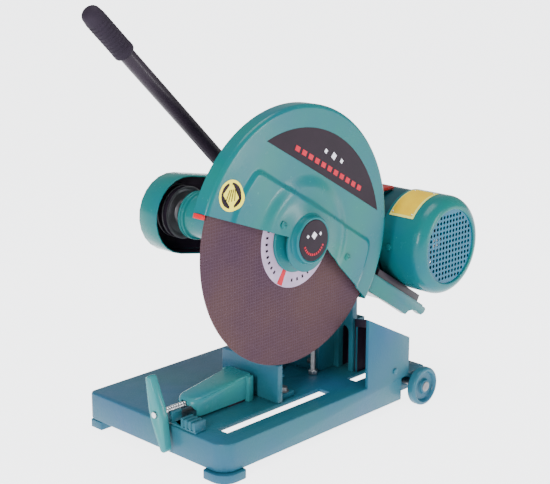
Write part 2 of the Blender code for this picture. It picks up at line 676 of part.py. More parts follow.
def make_belt_cover():
    """Open pan over the pulleys, held on two studs from the rocker."""
    cover = prism("belt_cover", obround(COVER_RADIUS), COVER_X, PAINT)
    cut(cover, prism("hollow", obround(COVER_RADIUS - 0.0022),
                     (COVER_X[0] + 0.0022, COVER_X[1] + 0.02), PAINT))
    for index, centre in enumerate(stud_centres(), start=1):
        cut(cover, rod("bore", (COVER_X[0] - 0.01, *centre), (COVER_X[0] + 0.01, *centre),
                       0.004 + GAP, PAINT))
        turned(f"cover_stud_{index}",
               [(-0.2050, 0.0), (-0.2050, 0.006), (COVER_X[0] + 0.0022 + GAP, 0.006),
                (COVER_X[0] + 0.0022 + GAP, 0.004), (COVER_X[0] - GAP, 0.004),
                (COVER_X[0] - GAP, 0.0085), (COVER_X[0] - 0.0050, 0.0080),
                (COVER_X[0] - 0.0060, 0.0050), (COVER_X[0] - 0.0060, 0.0)], centre, STEEL,
               segments=16)


def pulley_profile(radius, bore):
    """Two V grooves, as a closed (along, radius) loop from the far face to the near one."""
    middle = (PULLEY_X[0] + PULLEY_X[1]) / 2
    profile = [(PULLEY_X[0], bore), (PULLEY_X[0], radius)]
    for offset in BELT_OFFSETS:
        top, bottom = BELT_TOP_WIDTH / 2 + GAP, BELT_BOTTOM_WIDTH / 2 - 0.0004
        profile += [(middle + offset - top, radius), (middle + offset - bottom,
                                                      radius - GROOVE_DEPTH),
                    (middle + offset + bottom, radius - GROOVE_DEPTH),
                    (middle + offset + top, radius)]
    return profile + [(PULLEY_X[1], radius), (PULLEY_X[1], bore)]


def belt_path(spindle_radius, motor_radius, steps=14):
    """Closed open-belt path about both shafts: outside tangents and the two wrapped arcs."""
    dy, dz = MOTOR[0] - SPINDLE[0], MOTOR[1] - SPINDLE[1]
    tilt = math.atan2(dz, dy)
    lean = math.acos((spindle_radius - motor_radius) / math.hypot(dy, dz))
    path = []
    for i in range(steps + 1):
        angle = tilt + lean + (2 * math.pi - 2 * lean) * i / steps
        path.append((SPINDLE, spindle_radius, angle))
    for i in range(steps + 1):
        angle = tilt - lean + 2 * lean * i / steps
        path.append((MOTOR, motor_radius, angle))
    return path


def make_belts():
    """Two V belts as closed loops with a trapezoid section, clear of their grooves."""
    middle = (PULLEY_X[0] + PULLEY_X[1]) / 2
    inner_drop = GROOVE_DEPTH - 0.0009
    for name, offset in zip(("v_belt_far", "v_belt_near"), BELT_OFFSETS):
        bm = bmesh.new()
        rings = []
        section = [(-BELT_BOTTOM_WIDTH / 2 + 0.0006, 0.0), (BELT_BOTTOM_WIDTH / 2 - 0.0006, 0.0),
                   (BELT_TOP_WIDTH / 2 - 0.0006, BELT_HEIGHT),
                   (-BELT_TOP_WIDTH / 2 + 0.0006, BELT_HEIGHT)]
        base_path = belt_path(SPINDLE_PULLEY_RADIUS - inner_drop,
                              MOTOR_PULLEY_RADIUS - inner_drop)
        for centre, radius, angle in base_path:
            ring = []
            for across, up in section:
                reach = radius + up
                ring.append(bm.verts.new((middle + offset + across,
                                          centre[0] + reach * math.cos(angle),
                                          centre[1] + reach * math.sin(angle))))
            rings.append(ring)
        for i, ring in enumerate(rings):
            bridge(bm, ring, rings[(i + 1) % len(rings)])
        finish(name, bm, RUBBER)


def make_pulleys():
    """Two-groove pulleys on the wheel spindle and on the motor shaft."""
    turned("spindle_pulley", pulley_profile(SPINDLE_PULLEY_RADIUS, SHAFT_RADIUS + GAP),
           SPINDLE, DARK_STEEL, segments=24, closed=True)
    turned("motor_pulley", pulley_profile(MOTOR_PULLEY_RADIUS, ROTOR_SHAFT_RADIUS + GAP),
           MOTOR, DARK_STEEL, segments=24, closed=True)


# ---------------------------------------------------------------- motor

def make_motor():
    """Foot mounted motor: frame, stator, rotor, end shields, fan and cowl."""
    x0, x1 = MOTOR_BODY_X
    inner = 0.075
    body = turned("motor_body", [(x0, inner), (x0, MOTOR_RADIUS), (x1, MOTOR_RADIUS),
                                 (x1, inner)], MOTOR, DARK_PAINT, segments=32, closed=True)
    feet = table_block("feet", (0.030, 0.132), (0.0128, 0.040), (-0.205, -0.085), DARK_PAINT)
    cut(feet, rod("bore", (-0.30, *MOTOR), (0.0, *MOTOR), inner + 0.003, DARK_PAINT,
                  segments=32))
    join(body, feet)
    turned("motor_stator", [(-0.200, 0.0465), (-0.200, inner - 0.0008),
                            (-0.110, inner - 0.0008), (-0.110, 0.0465)], MOTOR, COPPER,
           segments=24, closed=True)
    shaft = ROTOR_SHAFT_RADIUS
    turned("motor_rotor", [(SHAFT_END_X, 0.0), (SHAFT_END_X, shaft), (-0.202, shaft),
                           (-0.202, 0.0455),
                           (-0.108, 0.0455), (-0.108, shaft), (-0.022, shaft), (-0.022, 0.0)],
           MOTOR, STEEL, segments=20)
    for name, outer_x, inner_x in (("motor_shield_drive", x0 - GAP, -0.248),
                                   ("motor_shield_fan", x1 + GAP, -0.0640)):
        step = 1 if inner_x > outer_x else -1
        shield = [(outer_x, shaft + GAP), (outer_x, 0.0790), (outer_x + step * 0.004, 0.0790),
                  (outer_x + step * 0.0065, 0.060), (inner_x, 0.028), (inner_x, shaft + GAP)]
        turned(name, shield, MOTOR, DARK_PAINT, segments=28, closed=True)
    make_fan_and_cowl()
    make_motor_fittings()


def make_fan_and_cowl():
    """Cooling fan on the rotor shaft and the rounded cowl over it."""
    x0, x1 = COWL_X
    sheet = 0.0018
    profile = [(x0, COWL_RADIUS - sheet), (x0, COWL_RADIUS), (x1 - 0.016, COWL_RADIUS),
               (x1 - 0.004, COWL_RADIUS - 0.009), (x1, COWL_RADIUS - 0.020), (x1, 0.010),
               (x1 - sheet, 0.010), (x1 - sheet, COWL_RADIUS - 0.0205),
               (x1 - 0.0055, COWL_RADIUS - 0.0105), (x1 - 0.0170, COWL_RADIUS - sheet)]
    turned("motor_fan_cowl", profile, MOTOR, PAINT, segments=36, closed=True)
    hub = turned("motor_fan", [(-0.050, ROTOR_SHAFT_RADIUS + GAP), (-0.050, 0.022),
                               (-0.026, 0.020), (-0.026, ROTOR_SHAFT_RADIUS + GAP)],
                 MOTOR, PLASTIC, segments=24, closed=True)
    blades = 6
    for i in range(blades):
        angle = 2 * math.pi * i / blades
        along = Vector((0.0, math.cos(angle), math.sin(angle)))
        across = Vector((0.0, -math.sin(angle), math.cos(angle)))
        centre = Vector((0.0, *MOTOR))
        outline = []
        for distance, side in ((0.018, -0.0015), (0.070, -0.0015), (0.070, 0.0015),
                               (0.018, 0.0015)):
            point = centre + along * distance + across * side
            outline.append((point.y, point.z))
        join(hub, prism("fan_blade", outline, (-0.046, -0.030), PLASTIC))


def make_motor_fittings():
    """Slide plate, foot bolts, tensioner, plain name plate and terminal box."""
    table_block("motor_slide_plate", (0.002, 0.1345), (GAP, 0.0125), (-0.207, -0.046),
                BLACK_PAINT)
    lift = Vector((0.0, math.sin(TABLE_TILT), math.cos(TABLE_TILT)))
    for name, x in (("motor_bolt_near", -0.098), ("motor_bolt_far", -0.192)):
        start = Vector((x, *on_table(0.019, 0.0128)))
        rod(name, start, start + lift * 0.008, 0.0065, DARK_STEEL, segments=6)
    sector_plate("motor_name_plate", COWL_RADIUS + GAP, 0.0008, (88, 141), (-0.072, -0.022),
                 YELLOW)
    make_terminal_box()
    plate_end = Vector((-0.13, *on_table(0.1505, -0.005)))
    down_table = Vector((0.0, math.cos(TABLE_TILT), -math.sin(TABLE_TILT)))
    rod("tension_bolt", plate_end, plate_end + down_table * 0.020, 0.0040, DARK_STEEL,
        segments=16)


def sector_plate(name, radius, thickness, degrees, x_span, spec, steps=10):
    """A thin sheet wrapped round the motor's axis."""
    outline = []
    for r, order in ((radius, range(steps + 1)), (radius + thickness, range(steps, -1, -1))):
        for i in order:
            angle = math.radians(degrees[0] + (degrees[1] - degrees[0]) * i / steps)
            outline.append((MOTOR[0] + r * math.cos(angle), MOTOR[1] + r * math.sin(angle)))
    return prism(name, outline, x_span, spec)


def make_terminal_box():
    """Low box on the motor, its lid, the switch key and the cable gland."""
    case = box("terminal_box", (BOX_X[0], BOX_Y[0], MOTOR[1] + 0.040),
               (BOX_X[1], BOX_Y[1], BOX_TOP), DARK_PAINT)
    cut(case, rod("saddle", (-0.25, *MOTOR), (-0.05, *MOTOR), MOTOR_RADIUS + GAP, DARK_PAINT,
                  segments=64))
    lid = box("terminal_box_lid", (BOX_X[0] - 0.002, BOX_Y[0] - 0.002, BOX_TOP + GAP),
              (BOX_X[1] + 0.003, BOX_Y[1] + 0.002, LID_TOP), RED)
    bevel(lid, 0.0015)
    x, y = KEY_CENTRE
    cut(lid, box("switch_seat", (x - 0.010, y - 0.010, LID_TOP - 0.0025),
                 (x + 0.010, y + 0.010, LID_TOP + 0.01), RED))
    half, base, rim, middle = 0.0078, LID_TOP - 0.0005, LID_TOP + 0.0038, LID_TOP + 0.0021
    outline = [(y - half, base), (y + half, base), (y + half, rim), (y, middle), (y - half, rim)]
    prism("power_switch", outline, (x - 0.009, x + 0.009), PLASTIC)
    start = BOX_X[0] - GAP
    turned("cable_gland", [(start, 0.0), (start, 0.0065), (start - 0.010, 0.0065),
                           (start - 0.014, 0.0050), (start - 0.014, 0.0)],
           (BOX_Y[0] + 0.018, MOTOR[1] + 0.0702), PLASTIC, segments=16)


# ---------------------------------------------------------------- handle, spring and stop

def make_handle():
    """Bar from the rocker's socket up and forward, with a rubber grip over its end."""
    foot = Vector((HANDLE_X, *HANDLE_FOOT))
    tip = Vector((HANDLE_X, *HANDLE_TIP))
    way = (tip - foot).normalized()
    rod("handle_bar", foot + way * GAP, tip - way * 0.008, HANDLE_RADIUS, BLACK_PAINT,
        segments=24)
    length = GRIP_LENGTH
    outer = [(length, 0.0), (length, 0.0110), (length - 0.003, 0.0140),
             (length - 0.012, 0.0148), (0.018, 0.0163), (0.003, 0.0158), (0.0, 0.0145)]
    inner = [(0.0, HANDLE_RADIUS + GAP), (length - 0.0070, HANDLE_RADIUS + GAP),
             (length - 0.0070, 0.0)]
    grip = turned("handle_grip", outer + inner, (0.0, 0.0), RUBBER, axis="z", segments=18)
    turn = way.to_track_quat("Z", "Y").to_matrix().to_4x4()
    grip.data.transform(Matrix.Translation(tip - way * length) @ turn)


def make_spring():
    """Return spring between the deck's cup and the rocker's pad."""
    low, high = SPRING_ENDS
    coil, wire, turns = 0.0125, 0.0017, 7
    steps, sides = 10, 5
    bm = bmesh.new()
    rings = []
    rise = high - low - 2 * wire
    for i in range(turns * steps + 1):
        part = i / (turns * steps)
        angle = 2 * math.pi * turns * part
        centre = Vector((SPRING_PLACE[0] + coil * math.cos(angle),
                         SPRING_PLACE[1] + coil * math.sin(angle), low + wire + rise * part))
        outward = Vector((math.cos(angle), math.sin(angle), 0.0))
        ring = []
        for j in range(sides):
            turn = 2 * math.pi * j / sides
            offset = (outward * math.cos(turn) + Vector((0, 0, math.sin(turn)))) * wire
            ring.append(bm.verts.new(centre + offset))
        rings.append(ring)
    for first, second in zip(rings, rings[1:]):
        bridge(bm, first, second)
    bm.faces.new(rings[0])
    bm.faces.new(rings[-1])
    finish("return_spring", bm, STEEL)


def make_stop():
    """Depth stop bolt, screwed into the deck under the rocker's lug."""
    turned("depth_stop_bolt", [(DECK_TOP - 0.020, 0.0), (DECK_TOP - 0.020, 0.0045),
                               (STOP_TOP - 0.008, 0.0045), (STOP_TOP - 0.008, 0.0085),
                               (STOP_TOP - 0.001, 0.0085), (STOP_TOP, 0.0070), (STOP_TOP, 0.0)],
           STOP_PLACE, STEEL, axis="z", segments=16)


# ---------------------------------------------------------------- vise

def make_fixed_jaw():
    """Angle casting that swivels on its pivot bolt."""
    y0, y1 = FIXED_JAW_Y
    x0, x1 = FIXED_JAW_X
    floor = DECK_TOP + GAP
    jaw = box("fixed_jaw", (x0, y0, floor), (x1, y1, JAW_TOP), PAINT)
    join(jaw, box("jaw_foot", (x0 + 0.004, y1 - 0.002, floor), (x1 - 0.006, y1 + 0.034,
                                                                floor + 0.009), PAINT))
    for x in (x0 + 0.03, x1 - 0.035):
        rib = [(y1 - 0.002, floor + 0.005), (y1 + 0.026, floor + 0.005),
               (y1 - 0.002, floor + 0.046)]
        join(jaw, prism("jaw_rib", rib, (x - 0.003, x + 0.003), PAINT))
    for name, x in zip(("jaw_pivot_bolt", "jaw_slot_bolt"), JAW_BOLT_X):
        centre = (x, JAW_BOLT_Y)
        cut(jaw, rod("bore", (*centre, 0.05), (*centre, 0.10), 0.005 + GAP, PAINT, segments=18))
        bolt = turned(name,
                      [(DECK_TOP - 0.012, 0.0), (DECK_TOP - 0.012, 0.005),
                       (floor + 0.009 + GAP, 0.005), (floor + 0.009 + GAP, 0.0105),
                       (floor + 0.0105, 0.0105), (floor + 0.0105, 0.0)], centre, DARK_STEEL,
                      axis="z", segments=18)
        join(bolt, prism("head", hexagon(centre, 0.0085), (floor + 0.0100, floor + 0.0165),
                         DARK_STEEL, axis="z"))


def slide_top(y):
    """Height of the slide's sloping top."""
    part = (y - SLIDE_Y[0]) / (SLIDE_Y[1] - SLIDE_Y[0])
    return SLIDE_TOPS[0] + (SLIDE_TOPS[1] - SLIDE_TOPS[0]) * part


def make_moving_jaw():
    """Round nosed slide, hollow so that it passes over the half nut, with the jaw plate."""
    floor = DECK_TOP + GAP
    x0, x1 = SLIDE_X
    outline = rounded_rectangle((x0, SLIDE_Y[0]), (x1, SLIDE_Y[1]),
                                (0.0215, 0.0215, 0.001, 0.001), steps=6)
    slide = prism("moving_jaw", outline, (SLIDE_BOTTOM, SLIDE_TOPS[0]), PAINT, axis="z")
    for vert in slide.data.vertices:
        if vert.co.z > SLIDE_BOTTOM + GAP:
            vert.co.z = slide_top(vert.co.y)
    soften_top(slide, 0.009)
    join(slide, box("jaw_plate", (-0.157, 0.1485, floor), (-0.0975, 0.1585, 0.1015), PAINT))
    nut_top, screw_top = SCREW_Z + 0.0005, SCREW_Z + SCREW_RADIUS + 0.0007
    half = [(x0 + 0.004, floor), (x0 + 0.004, 0.073), (x0 + 0.010, nut_top),
            (SCREW_X - SCREW_RADIUS - 0.002, nut_top), (SCREW_X - SCREW_RADIUS, screw_top)]
    other_half = [(x0 + x1 - x, z) for x, z in reversed(half)]
    cut(slide, prism("hollow", half + other_half, (0.0, 0.1455), PAINT, axis="y"))


def soften_top(obj, width):
    """Bevel the sides and the nose of the slide's top face, not its rear."""
    bm = bmesh.new()
    bm.from_mesh(obj.data)
    rear = SLIDE_Y[1] - 0.002
    rim = [e for e in bm.edges if all(abs(v.co.z - slide_top(v.co.y)) < 1e-5 for v in e.verts)
           and min(v.co.y for v in e.verts) < rear]
    bmesh.ops.bevel(bm, geom=rim, offset=width, segments=4, profile=0.5, affect="EDGES")
    bm.to_mesh(obj.data)
    bm.free()
    obj.data.shade_smooth()
    obj.data.set_sharp_from_angle(angle=math.radians(32))


def make_vise_screw():
    """Half nut on its block, the screw that lies in it and the two-armed lever on its end."""
    floor = DECK_TOP + GAP
    y0, y1 = 0.0030, 0.0250
    block = box("vise_nut_block", (-0.1560, y0, floor), (-0.0640, y1, SLIDE_BOTTOM - 0.0006),
                PAINT)
    nut_radius, nut_top = 0.0115, SCREW_Z - 2 * GAP
    half_nut = [(SCREW_X - 0.0100, floor + 0.001), (SCREW_X + 0.0100, floor + 0.001),
                (SCREW_X + 0.0100, SCREW_Z - 0.0060), (SCREW_X + nut_radius, SCREW_Z - 0.0030),
                (SCREW_X + nut_radius, nut_top), (SCREW_X - nut_radius, nut_top),
                (SCREW_X - nut_radius, SCREW_Z - 0.0030), (SCREW_X - 0.0100, SCREW_Z - 0.0060)]
    join(block, prism("half_nut", half_nut, (y0 + 0.001, y1 - 0.001), PAINT, axis="y"),
         box("clamp", (-0.0960, y0 + 0.002, floor + 0.001), (-0.0670, y1 - 0.002, 0.0740),
             PAINT))
    for x in (-0.0680, -0.0770, -0.0860, -0.0950):
        join(block, box("rib", (x - 0.002, y0, floor + 0.0005), (x + 0.002, y1 + 0.001, 0.0765),
                        PAINT))
    cut(block, rod("screw_bore", (SCREW_X, -0.01, SCREW_Z), (SCREW_X, 0.05, SCREW_Z),
                   SCREW_RADIUS + GAP, PAINT))
    end = 0.1450
    turned("vise_screw", [(-0.0240, 0.0), (-0.0240, 0.0050), (-0.0062, 0.0050),
                          (-0.0062, 0.0085), (-0.0027, 0.0085), (-0.0027, SCREW_RADIUS),
                          (end - 0.0015, SCREW_RADIUS), (end, SCREW_RADIUS - 0.0015),
                          (end, 0.0)],
           (SCREW_X, SCREW_Z), STEEL, axis="y", segments=20)
    lever_lean = math.radians(-16)
    half, end, middle = 0.0565, 0.0060, 0.0130
    outline = [(-end, half), (-end * 0.4, half + 0.003), (end * 0.4, half + 0.003), (end, half),
               (middle, 0.010), (middle, -0.010), (end, -half),
               (end * 0.4, -half - 0.003), (-end * 0.4, -half - 0.003), (-end, -half),
               (-middle, -0.010), (-middle, 0.010)]
    cosine, sine = math.cos(lever_lean), math.sin(lever_lean)
    turned_outline = [(SCREW_X + a * cosine + b * sine, SCREW_Z - a * sine + b * cosine)
                      for a, b in outline]
    lever = prism("vise_lever", turned_outline, (-0.0215, -0.0065), PAINT, axis="y")
    bevel(lever, 0.0022)
    cut(lever, rod("bore", (SCREW_X, -0.05, SCREW_Z), (SCREW_X, 0.0, SCREW_Z), 0.0050 + GAP,
                   PAINT))


# ---------------------------------------------------------------- bodies and frame

GROUPS = {
    "head": ("rocker_arm", "spindle_housing", "spindle_bearing_near", "spindle_bearing_far",
             "guard_shell", "guard_back_sheet", "hub_cap", "guard_screw_1", "guard_screw_2",
             "guard_end_pad", "belt_cover", "cover_stud_1", "cover_stud_2", "v_belt_far",
             "v_belt_near", "motor_body", "motor_stator", "motor_shield_drive",
             "motor_shield_fan", "motor_fan_cowl", "motor_slide_plate", "motor_bolt_near",
             "motor_bolt_far", "motor_name_plate", "terminal_box", "terminal_box_lid",
             "cable_gland", "tension_bolt", "handle_bar", "handle_grip"),
    "spindle": ("spindle_shaft", "cutting_wheel", "outer_flange", "inner_flange", "spindle_nut",
                "spindle_pulley"),
    "rotor": ("motor_rotor", "motor_fan", "motor_pulley"),
    "switch": ("power_switch",),
    "wheel_near": ("rear_wheel_near",),
    "wheel_far": ("rear_wheel_far",),
    "fixed_jaw": ("fixed_jaw", "jaw_slot_bolt"),
    "moving_jaw": ("moving_jaw",),
    "screw": ("vise_screw", "vise_lever"),
}


def group_places():
    """Where each moving group's own origin is, on its joint's axis, and what carries it."""
    jaw_pivot = (JAW_BOLT_X[0], JAW_BOLT_Y, DECK_TOP)
    return {
        "head": ((-0.177, *PIVOT), None),
        "spindle": ((DISC_X, *SPINDLE), "head"),
        "rotor": ((-0.155, *MOTOR), "head"),
        "switch": ((*KEY_CENTRE, KEY_AXIS), "head"),
        "wheel_near": ((0.0, WHEEL_Y, WHEEL_RADIUS), None),
        "wheel_far": ((-BASE_WIDTH, WHEEL_Y, WHEEL_RADIUS), None),
        "fixed_jaw": (jaw_pivot, None),
        "moving_jaw": ((SCREW_X, 0.155, SCREW_Z), None),
        "screw": ((SCREW_X, 0.0, SCREW_Z), "moving_jaw"),
    }


def attach(child, parent):
    """Parent without moving the child."""
    place = child.matrix_world.copy()
    child.parent = parent
    child.matrix_parent_inverse = parent.matrix_world.inverted()
    child.matrix_world = place


def add_empty(name, location):
    """An empty that marks a joint axis for the pieces hung from it."""
    empty = bpy.data.objects.new(name, None)
    empty.location = location
    bpy.context.scene.collection.objects.link(empty)
    bpy.context.view_layer.update()
    return empty


def group_bodies():
    """Hang every piece on its group's empty, and everything on one root at the floor."""
    pieces = [obj for obj in bpy.data.objects if obj.type == "MESH"]
    corners = [obj.matrix_world @ Vector(corner) for obj in pieces for corner in obj.bound_box]
    middle = [(min(c[i] for c in corners) + max(c[i] for c in corners)) / 2 for i in (0, 1)]
    root = add_empty("machine_root", (middle[0], middle[1], 0.0))
    empties = {}
    for group, (location, carrier) in group_places().items():
        empties[group] = add_empty(f"{group}_axis", location)
        attach(empties[group], empties[carrier] if carrier else root)
    owner = {name: group for group, names in GROUPS.items() for name in names}
    bpy.context.view_layer.update()
    for obj in pieces:
        attach(obj, empties[owner[obj.name]] if obj.name in owner else root)
    root.location = (0.0, 0.0, 0.0)
    bpy.context.view_layer.update()


def main():
    """Clear the file, make every piece and hang the moving ones from their joints."""
    for obj in list(bpy.data.objects):
        bpy.data.objects.remove(obj)
    make_base()
    make_feet()
    make_wheels()
    make_pivot_bracket()
    make_pivot_parts()
    make_rocker()
    make_spindle()
    make_guard()
    make_belt_cover()
    make_pulleys()
    make_belts()
    make_motor()
    make_handle()
    make_spring()
    make_stop()
    make_fixed_jaw()
    make_moving_jaw()
    make_vise_screw()
    group_bodies()


main()
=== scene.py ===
"""Looks for the abrasive chop saw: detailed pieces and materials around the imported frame.

Pieces are modelled in the saw's own layout: x = 0 is the base's side next to the wheel guard,
y = 0 is the base's front and z = 0 the floor. ORIGIN moves them into the frame.
"""
import json
import math
from math import cos, hypot, pi, radians, sin

import bmesh
import bpy
from mathutils import Matrix, Vector


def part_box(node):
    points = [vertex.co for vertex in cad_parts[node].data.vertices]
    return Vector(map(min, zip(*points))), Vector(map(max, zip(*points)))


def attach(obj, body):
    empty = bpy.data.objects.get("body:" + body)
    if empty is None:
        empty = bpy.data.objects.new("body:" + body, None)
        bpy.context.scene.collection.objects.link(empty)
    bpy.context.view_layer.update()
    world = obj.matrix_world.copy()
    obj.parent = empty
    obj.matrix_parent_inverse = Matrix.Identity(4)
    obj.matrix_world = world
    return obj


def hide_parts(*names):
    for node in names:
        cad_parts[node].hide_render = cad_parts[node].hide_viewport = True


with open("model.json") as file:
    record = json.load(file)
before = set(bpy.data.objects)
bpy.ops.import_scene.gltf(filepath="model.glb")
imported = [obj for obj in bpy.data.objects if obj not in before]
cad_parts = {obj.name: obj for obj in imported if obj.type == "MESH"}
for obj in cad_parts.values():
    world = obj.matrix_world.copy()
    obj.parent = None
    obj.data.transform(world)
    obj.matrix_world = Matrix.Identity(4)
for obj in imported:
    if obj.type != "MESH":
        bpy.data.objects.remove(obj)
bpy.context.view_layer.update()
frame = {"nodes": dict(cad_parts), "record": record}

ORIGIN = Vector((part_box("base_frame")[1].x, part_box("base_frame")[0].y, 0.0))
AIR = 0.0004  # between a decal or a loose piece and what is under it


def layout_box(node):
    """Lowest and highest corner of a CAD node, in the saw's own layout."""
    low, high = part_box(node)
    return low - ORIGIN, high - ORIGIN


def round_axis(node):
    """(y, z) of the axis of a node that is round about an X axis."""
    low, high = layout_box(node)
    return ((low.y + high.y) / 2, (low.z + high.z) / 2)


SPINDLE = round_axis("cutting_wheel")
MOTOR = round_axis("motor_fan_cowl")
WHEEL = round_axis("rear_wheel_near")
GUARD_LOW, GUARD_HIGH = layout_box("guard_shell")
GUARD_RADIUS = GUARD_HIGH.z - SPINDLE[1]
GUARD_SHEET = 0.0025
GUARD_BORE = 0.0325  # radius of the hole under the hub cap
CROWN_HEIGHT = 0.009  # how far the guard's middle stands out from its flat band
GUARD_FACE = GUARD_HIGH.x - CROWN_HEIGHT
FRONT_CUT = radians(159.4)
REAR_CUT = radians(-44)
REAR_CUT_START = 0.027
WHEEL_LOW, WHEEL_HIGH = layout_box("cutting_wheel")
WHEEL_RADIUS = WHEEL_HIGH.z - SPINDLE[1]
COWL_LOW, COWL_HIGH = layout_box("motor_fan_cowl")
COWL_RADIUS = COWL_HIGH.z - MOTOR[1]
SPINDLE_BORE = 0.0154
FLANGE_RADIUS = 0.0508
NO_FACTOR = (0, 0, 0, 1)

# Camera, as the machine is seen from its front right
CAMERA_TARGET = Vector((-0.0725, 0.1582, 0.3617)) + ORIGIN
CAMERA_TOWARDS = Vector((0.677, -0.695, 0.242)).normalized()
CAMERA_DISTANCE = 1.95
CAMERA_LENS = 84.2
CAMERA_SHIFT = (0.0191, -0.0432)


# ---- materials

def srgb(red, green, blue):
    """A colour given in 0-255 display values, as the linear values that shaders take."""
    def linear(value):
        part = value / 255
        return part / 12.92 if part <= 0.04045 else ((part + 0.055) / 1.055) ** 2.4
    return (linear(red), linear(green), linear(blue), 1.0)


def set_inputs(node, values):
    """Give a node's inputs plain values, by name."""
    for name, value in values.items():
        node.inputs[name].default_value = value


class Graph:
    """Short calls for building one material's nodes."""

    def __init__(self, name, roughness, metallic=0.0, coat=0.0):
        self.material = bpy.data.materials.new(name)
        self.material.use_nodes = True
        self.nodes = self.material.node_tree.nodes
        self.links = self.material.node_tree.links
        self.shader = self.nodes["Principled BSDF"]
        set_inputs(self.shader, {"Roughness": roughness, "Metallic": metallic,
                                 "Specular IOR Level": 0.12, "Coat Weight": coat,
                                 "Coat Roughness": 0.12})
        self.place = self.nodes.new("ShaderNodeTexCoord").outputs["Object"]

    def node(self, kind, **inputs):
        """A new node; each input is a plain value or another node's output."""
        made = self.nodes.new("ShaderNode" + kind)
        for name, value in inputs.items():
            self.feed(made.inputs[name.replace("_", " ")], value)
        return made

    def feed(self, socket, value):
        """Link a node's output to the socket, or give the socket a plain value."""
        if isinstance(value, bpy.types.NodeSocket):
            self.links.new(value, socket)
        else:
            socket.default_value = value

    def noise(self, scale, detail=3.0, vector=None):
        """Cloudy pattern; scale is in features a metre."""
        made = self.node("TexNoise", Scale=scale, Detail=detail, Vector=vector or self.place)
        return made.outputs["Fac"]

    def waves(self, scale, direction, distortion):
        """Bands that repeat along one axis."""
        made = self.node("TexWave", Scale=scale, Distortion=distortion, Vector=self.place)
        made.bands_direction = direction
        return made.outputs["Fac"]

    def ramp(self, factor, low, high, start, end):
        """A colour that goes from one to the other as the factor rises."""
        made = self.node("ValToRGB", Fac=factor)
        for element, place, colour in zip(made.color_ramp.elements, (low, high), (start, end)):
            element.position = place
            element.color = colour
        return made.outputs["Color"]

    def mix(self, factor, first, second):
        """Blend two colours; each may be a plain value or a node's output."""
        made = self.node("Mix", Factor=factor)
        made.data_type = "RGBA"
        sockets = [socket for socket in made.inputs if socket.type == "RGBA"]
        for socket, value in zip(sockets, (first, second)):
            self.feed(socket, value)
        return [socket for socket in made.outputs if socket.type == "RGBA"][0]

    def maths(self, operation, first, second):
        """One arithmetic node on two values."""
        made = self.node("Math")
        made.operation = operation
        self.feed(made.inputs[0], first)
        self.feed(made.inputs[1], second)
        return made.outputs["Value"]

    def colour(self, value):
        self.feed(self.shader.inputs["Base Color"], value)

    def roughness(self, factor, low, high):
        """Let the shader's roughness follow a pattern."""
        made = self.node("MapRange", Value=factor, To_Min=low, To_Max=high)
        self.feed(self.shader.inputs["Roughness"], made.outputs["Result"])

    def bump(self, height, strength, distance):
        """Raise the surface by a pattern; distance is in metres."""
        made = self.node("Bump", Strength=strength, Distance=distance, Height=height)
        self.feed(self.shader.inputs["Normal"], made.outputs["Normal"])


def enamel(name, colour, shade):
    """Sprayed enamel: slow colour drift, orange peel, and dust that dulls it here and there."""
    graph = Graph(name, 0.22, coat=0.06)
    base = graph.ramp(graph.noise(9.0, 4.0), 0.35, 0.68, shade, colour)
    specks = graph.ramp(graph.noise(260.0, 2.0), 0.71, 0.78, NO_FACTOR, (1, 1, 1, 1))
    dust = tuple(min(1.0, c * 1.5 + 0.02) for c in colour[:3]) + (1.0,)
    graph.colour(graph.mix(specks, base, dust))
    graph.roughness(graph.noise(30.0, 5.0), 0.16, 0.34)
    graph.bump(graph.noise(420.0, 2.0), 0.2, 0.0006)
    return graph.material


def cast_enamel(name, colour, shade):
    """Enamel over a sand casting: the same paint with the casting's lumps under it."""
    graph = Graph(name, 0.38, coat=0.08)
    graph.colour(graph.ramp(graph.noise(6.0, 5.0), 0.32, 0.7, shade, colour))
    graph.roughness(graph.noise(24.0, 5.0), 0.30, 0.5)
    lumps = graph.maths("ADD", graph.noise(60.0, 5.0), graph.noise(340.0, 3.0))
    graph.bump(lumps, 0.35, 0.0011)
    return graph.material


def satin_paint(name, colour, shade, roughness=0.38):
    """Half-dull sprayed paint with a fine grain."""
    graph = Graph(name, roughness, coat=0.05)
    graph.colour(graph.ramp(graph.noise(14.0, 4.0), 0.35, 0.7, shade, colour))
    graph.roughness(graph.noise(40.0, 4.0), roughness - 0.08, roughness + 0.12)
    graph.bump(graph.noise(500.0, 2.0), 0.2, 0.0005)
    return graph.material


def abrasive():
    """Resin bonded grit over a woven glass mesh that shows as crossing threads."""
    graph = Graph("abrasive", 0.86)
    threads = graph.maths("MAXIMUM", graph.waves(62.0, "Y", 0.35), graph.waves(62.0, "Z", 0.35))
    body = graph.ramp(graph.noise(5.0, 4.0), 0.36, 0.64, srgb(56, 38, 52), srgb(70, 50, 48))
    woven = graph.mix(graph.ramp(threads, 0.80, 1.0, NO_FACTOR, (0.35, 0.35, 0.35, 1)),
                      body, srgb(78, 62, 76))
    grit = graph.ramp(graph.noise(900.0, 1.0), 0.66, 0.75, NO_FACTOR, (0.6, 0.6, 0.6, 1))
    graph.colour(graph.mix(grit, woven, srgb(112, 96, 110)))
    graph.bump(graph.maths("ADD", threads, graph.noise(700.0, 3.0)), 0.45, 0.0007)
    return graph.material


def turned_steel(name, colour, shade, roughness):
    """Machined metal with fine tool marks across the first axis."""
    graph = Graph(name, roughness, metallic=1.0)
    stretched = graph.node("Mapping", Scale=(900.0, 30.0, 30.0), Vector=graph.place)
    marks = graph.noise(1.0, 3.0, stretched.outputs["Vector"])
    graph.colour(graph.ramp(marks, 0.3, 0.72, shade, colour))
    graph.roughness(graph.noise(35.0, 4.0), roughness - 0.08, roughness + 0.15)
    graph.bump(marks, 0.15, 0.0002)
    return graph.material


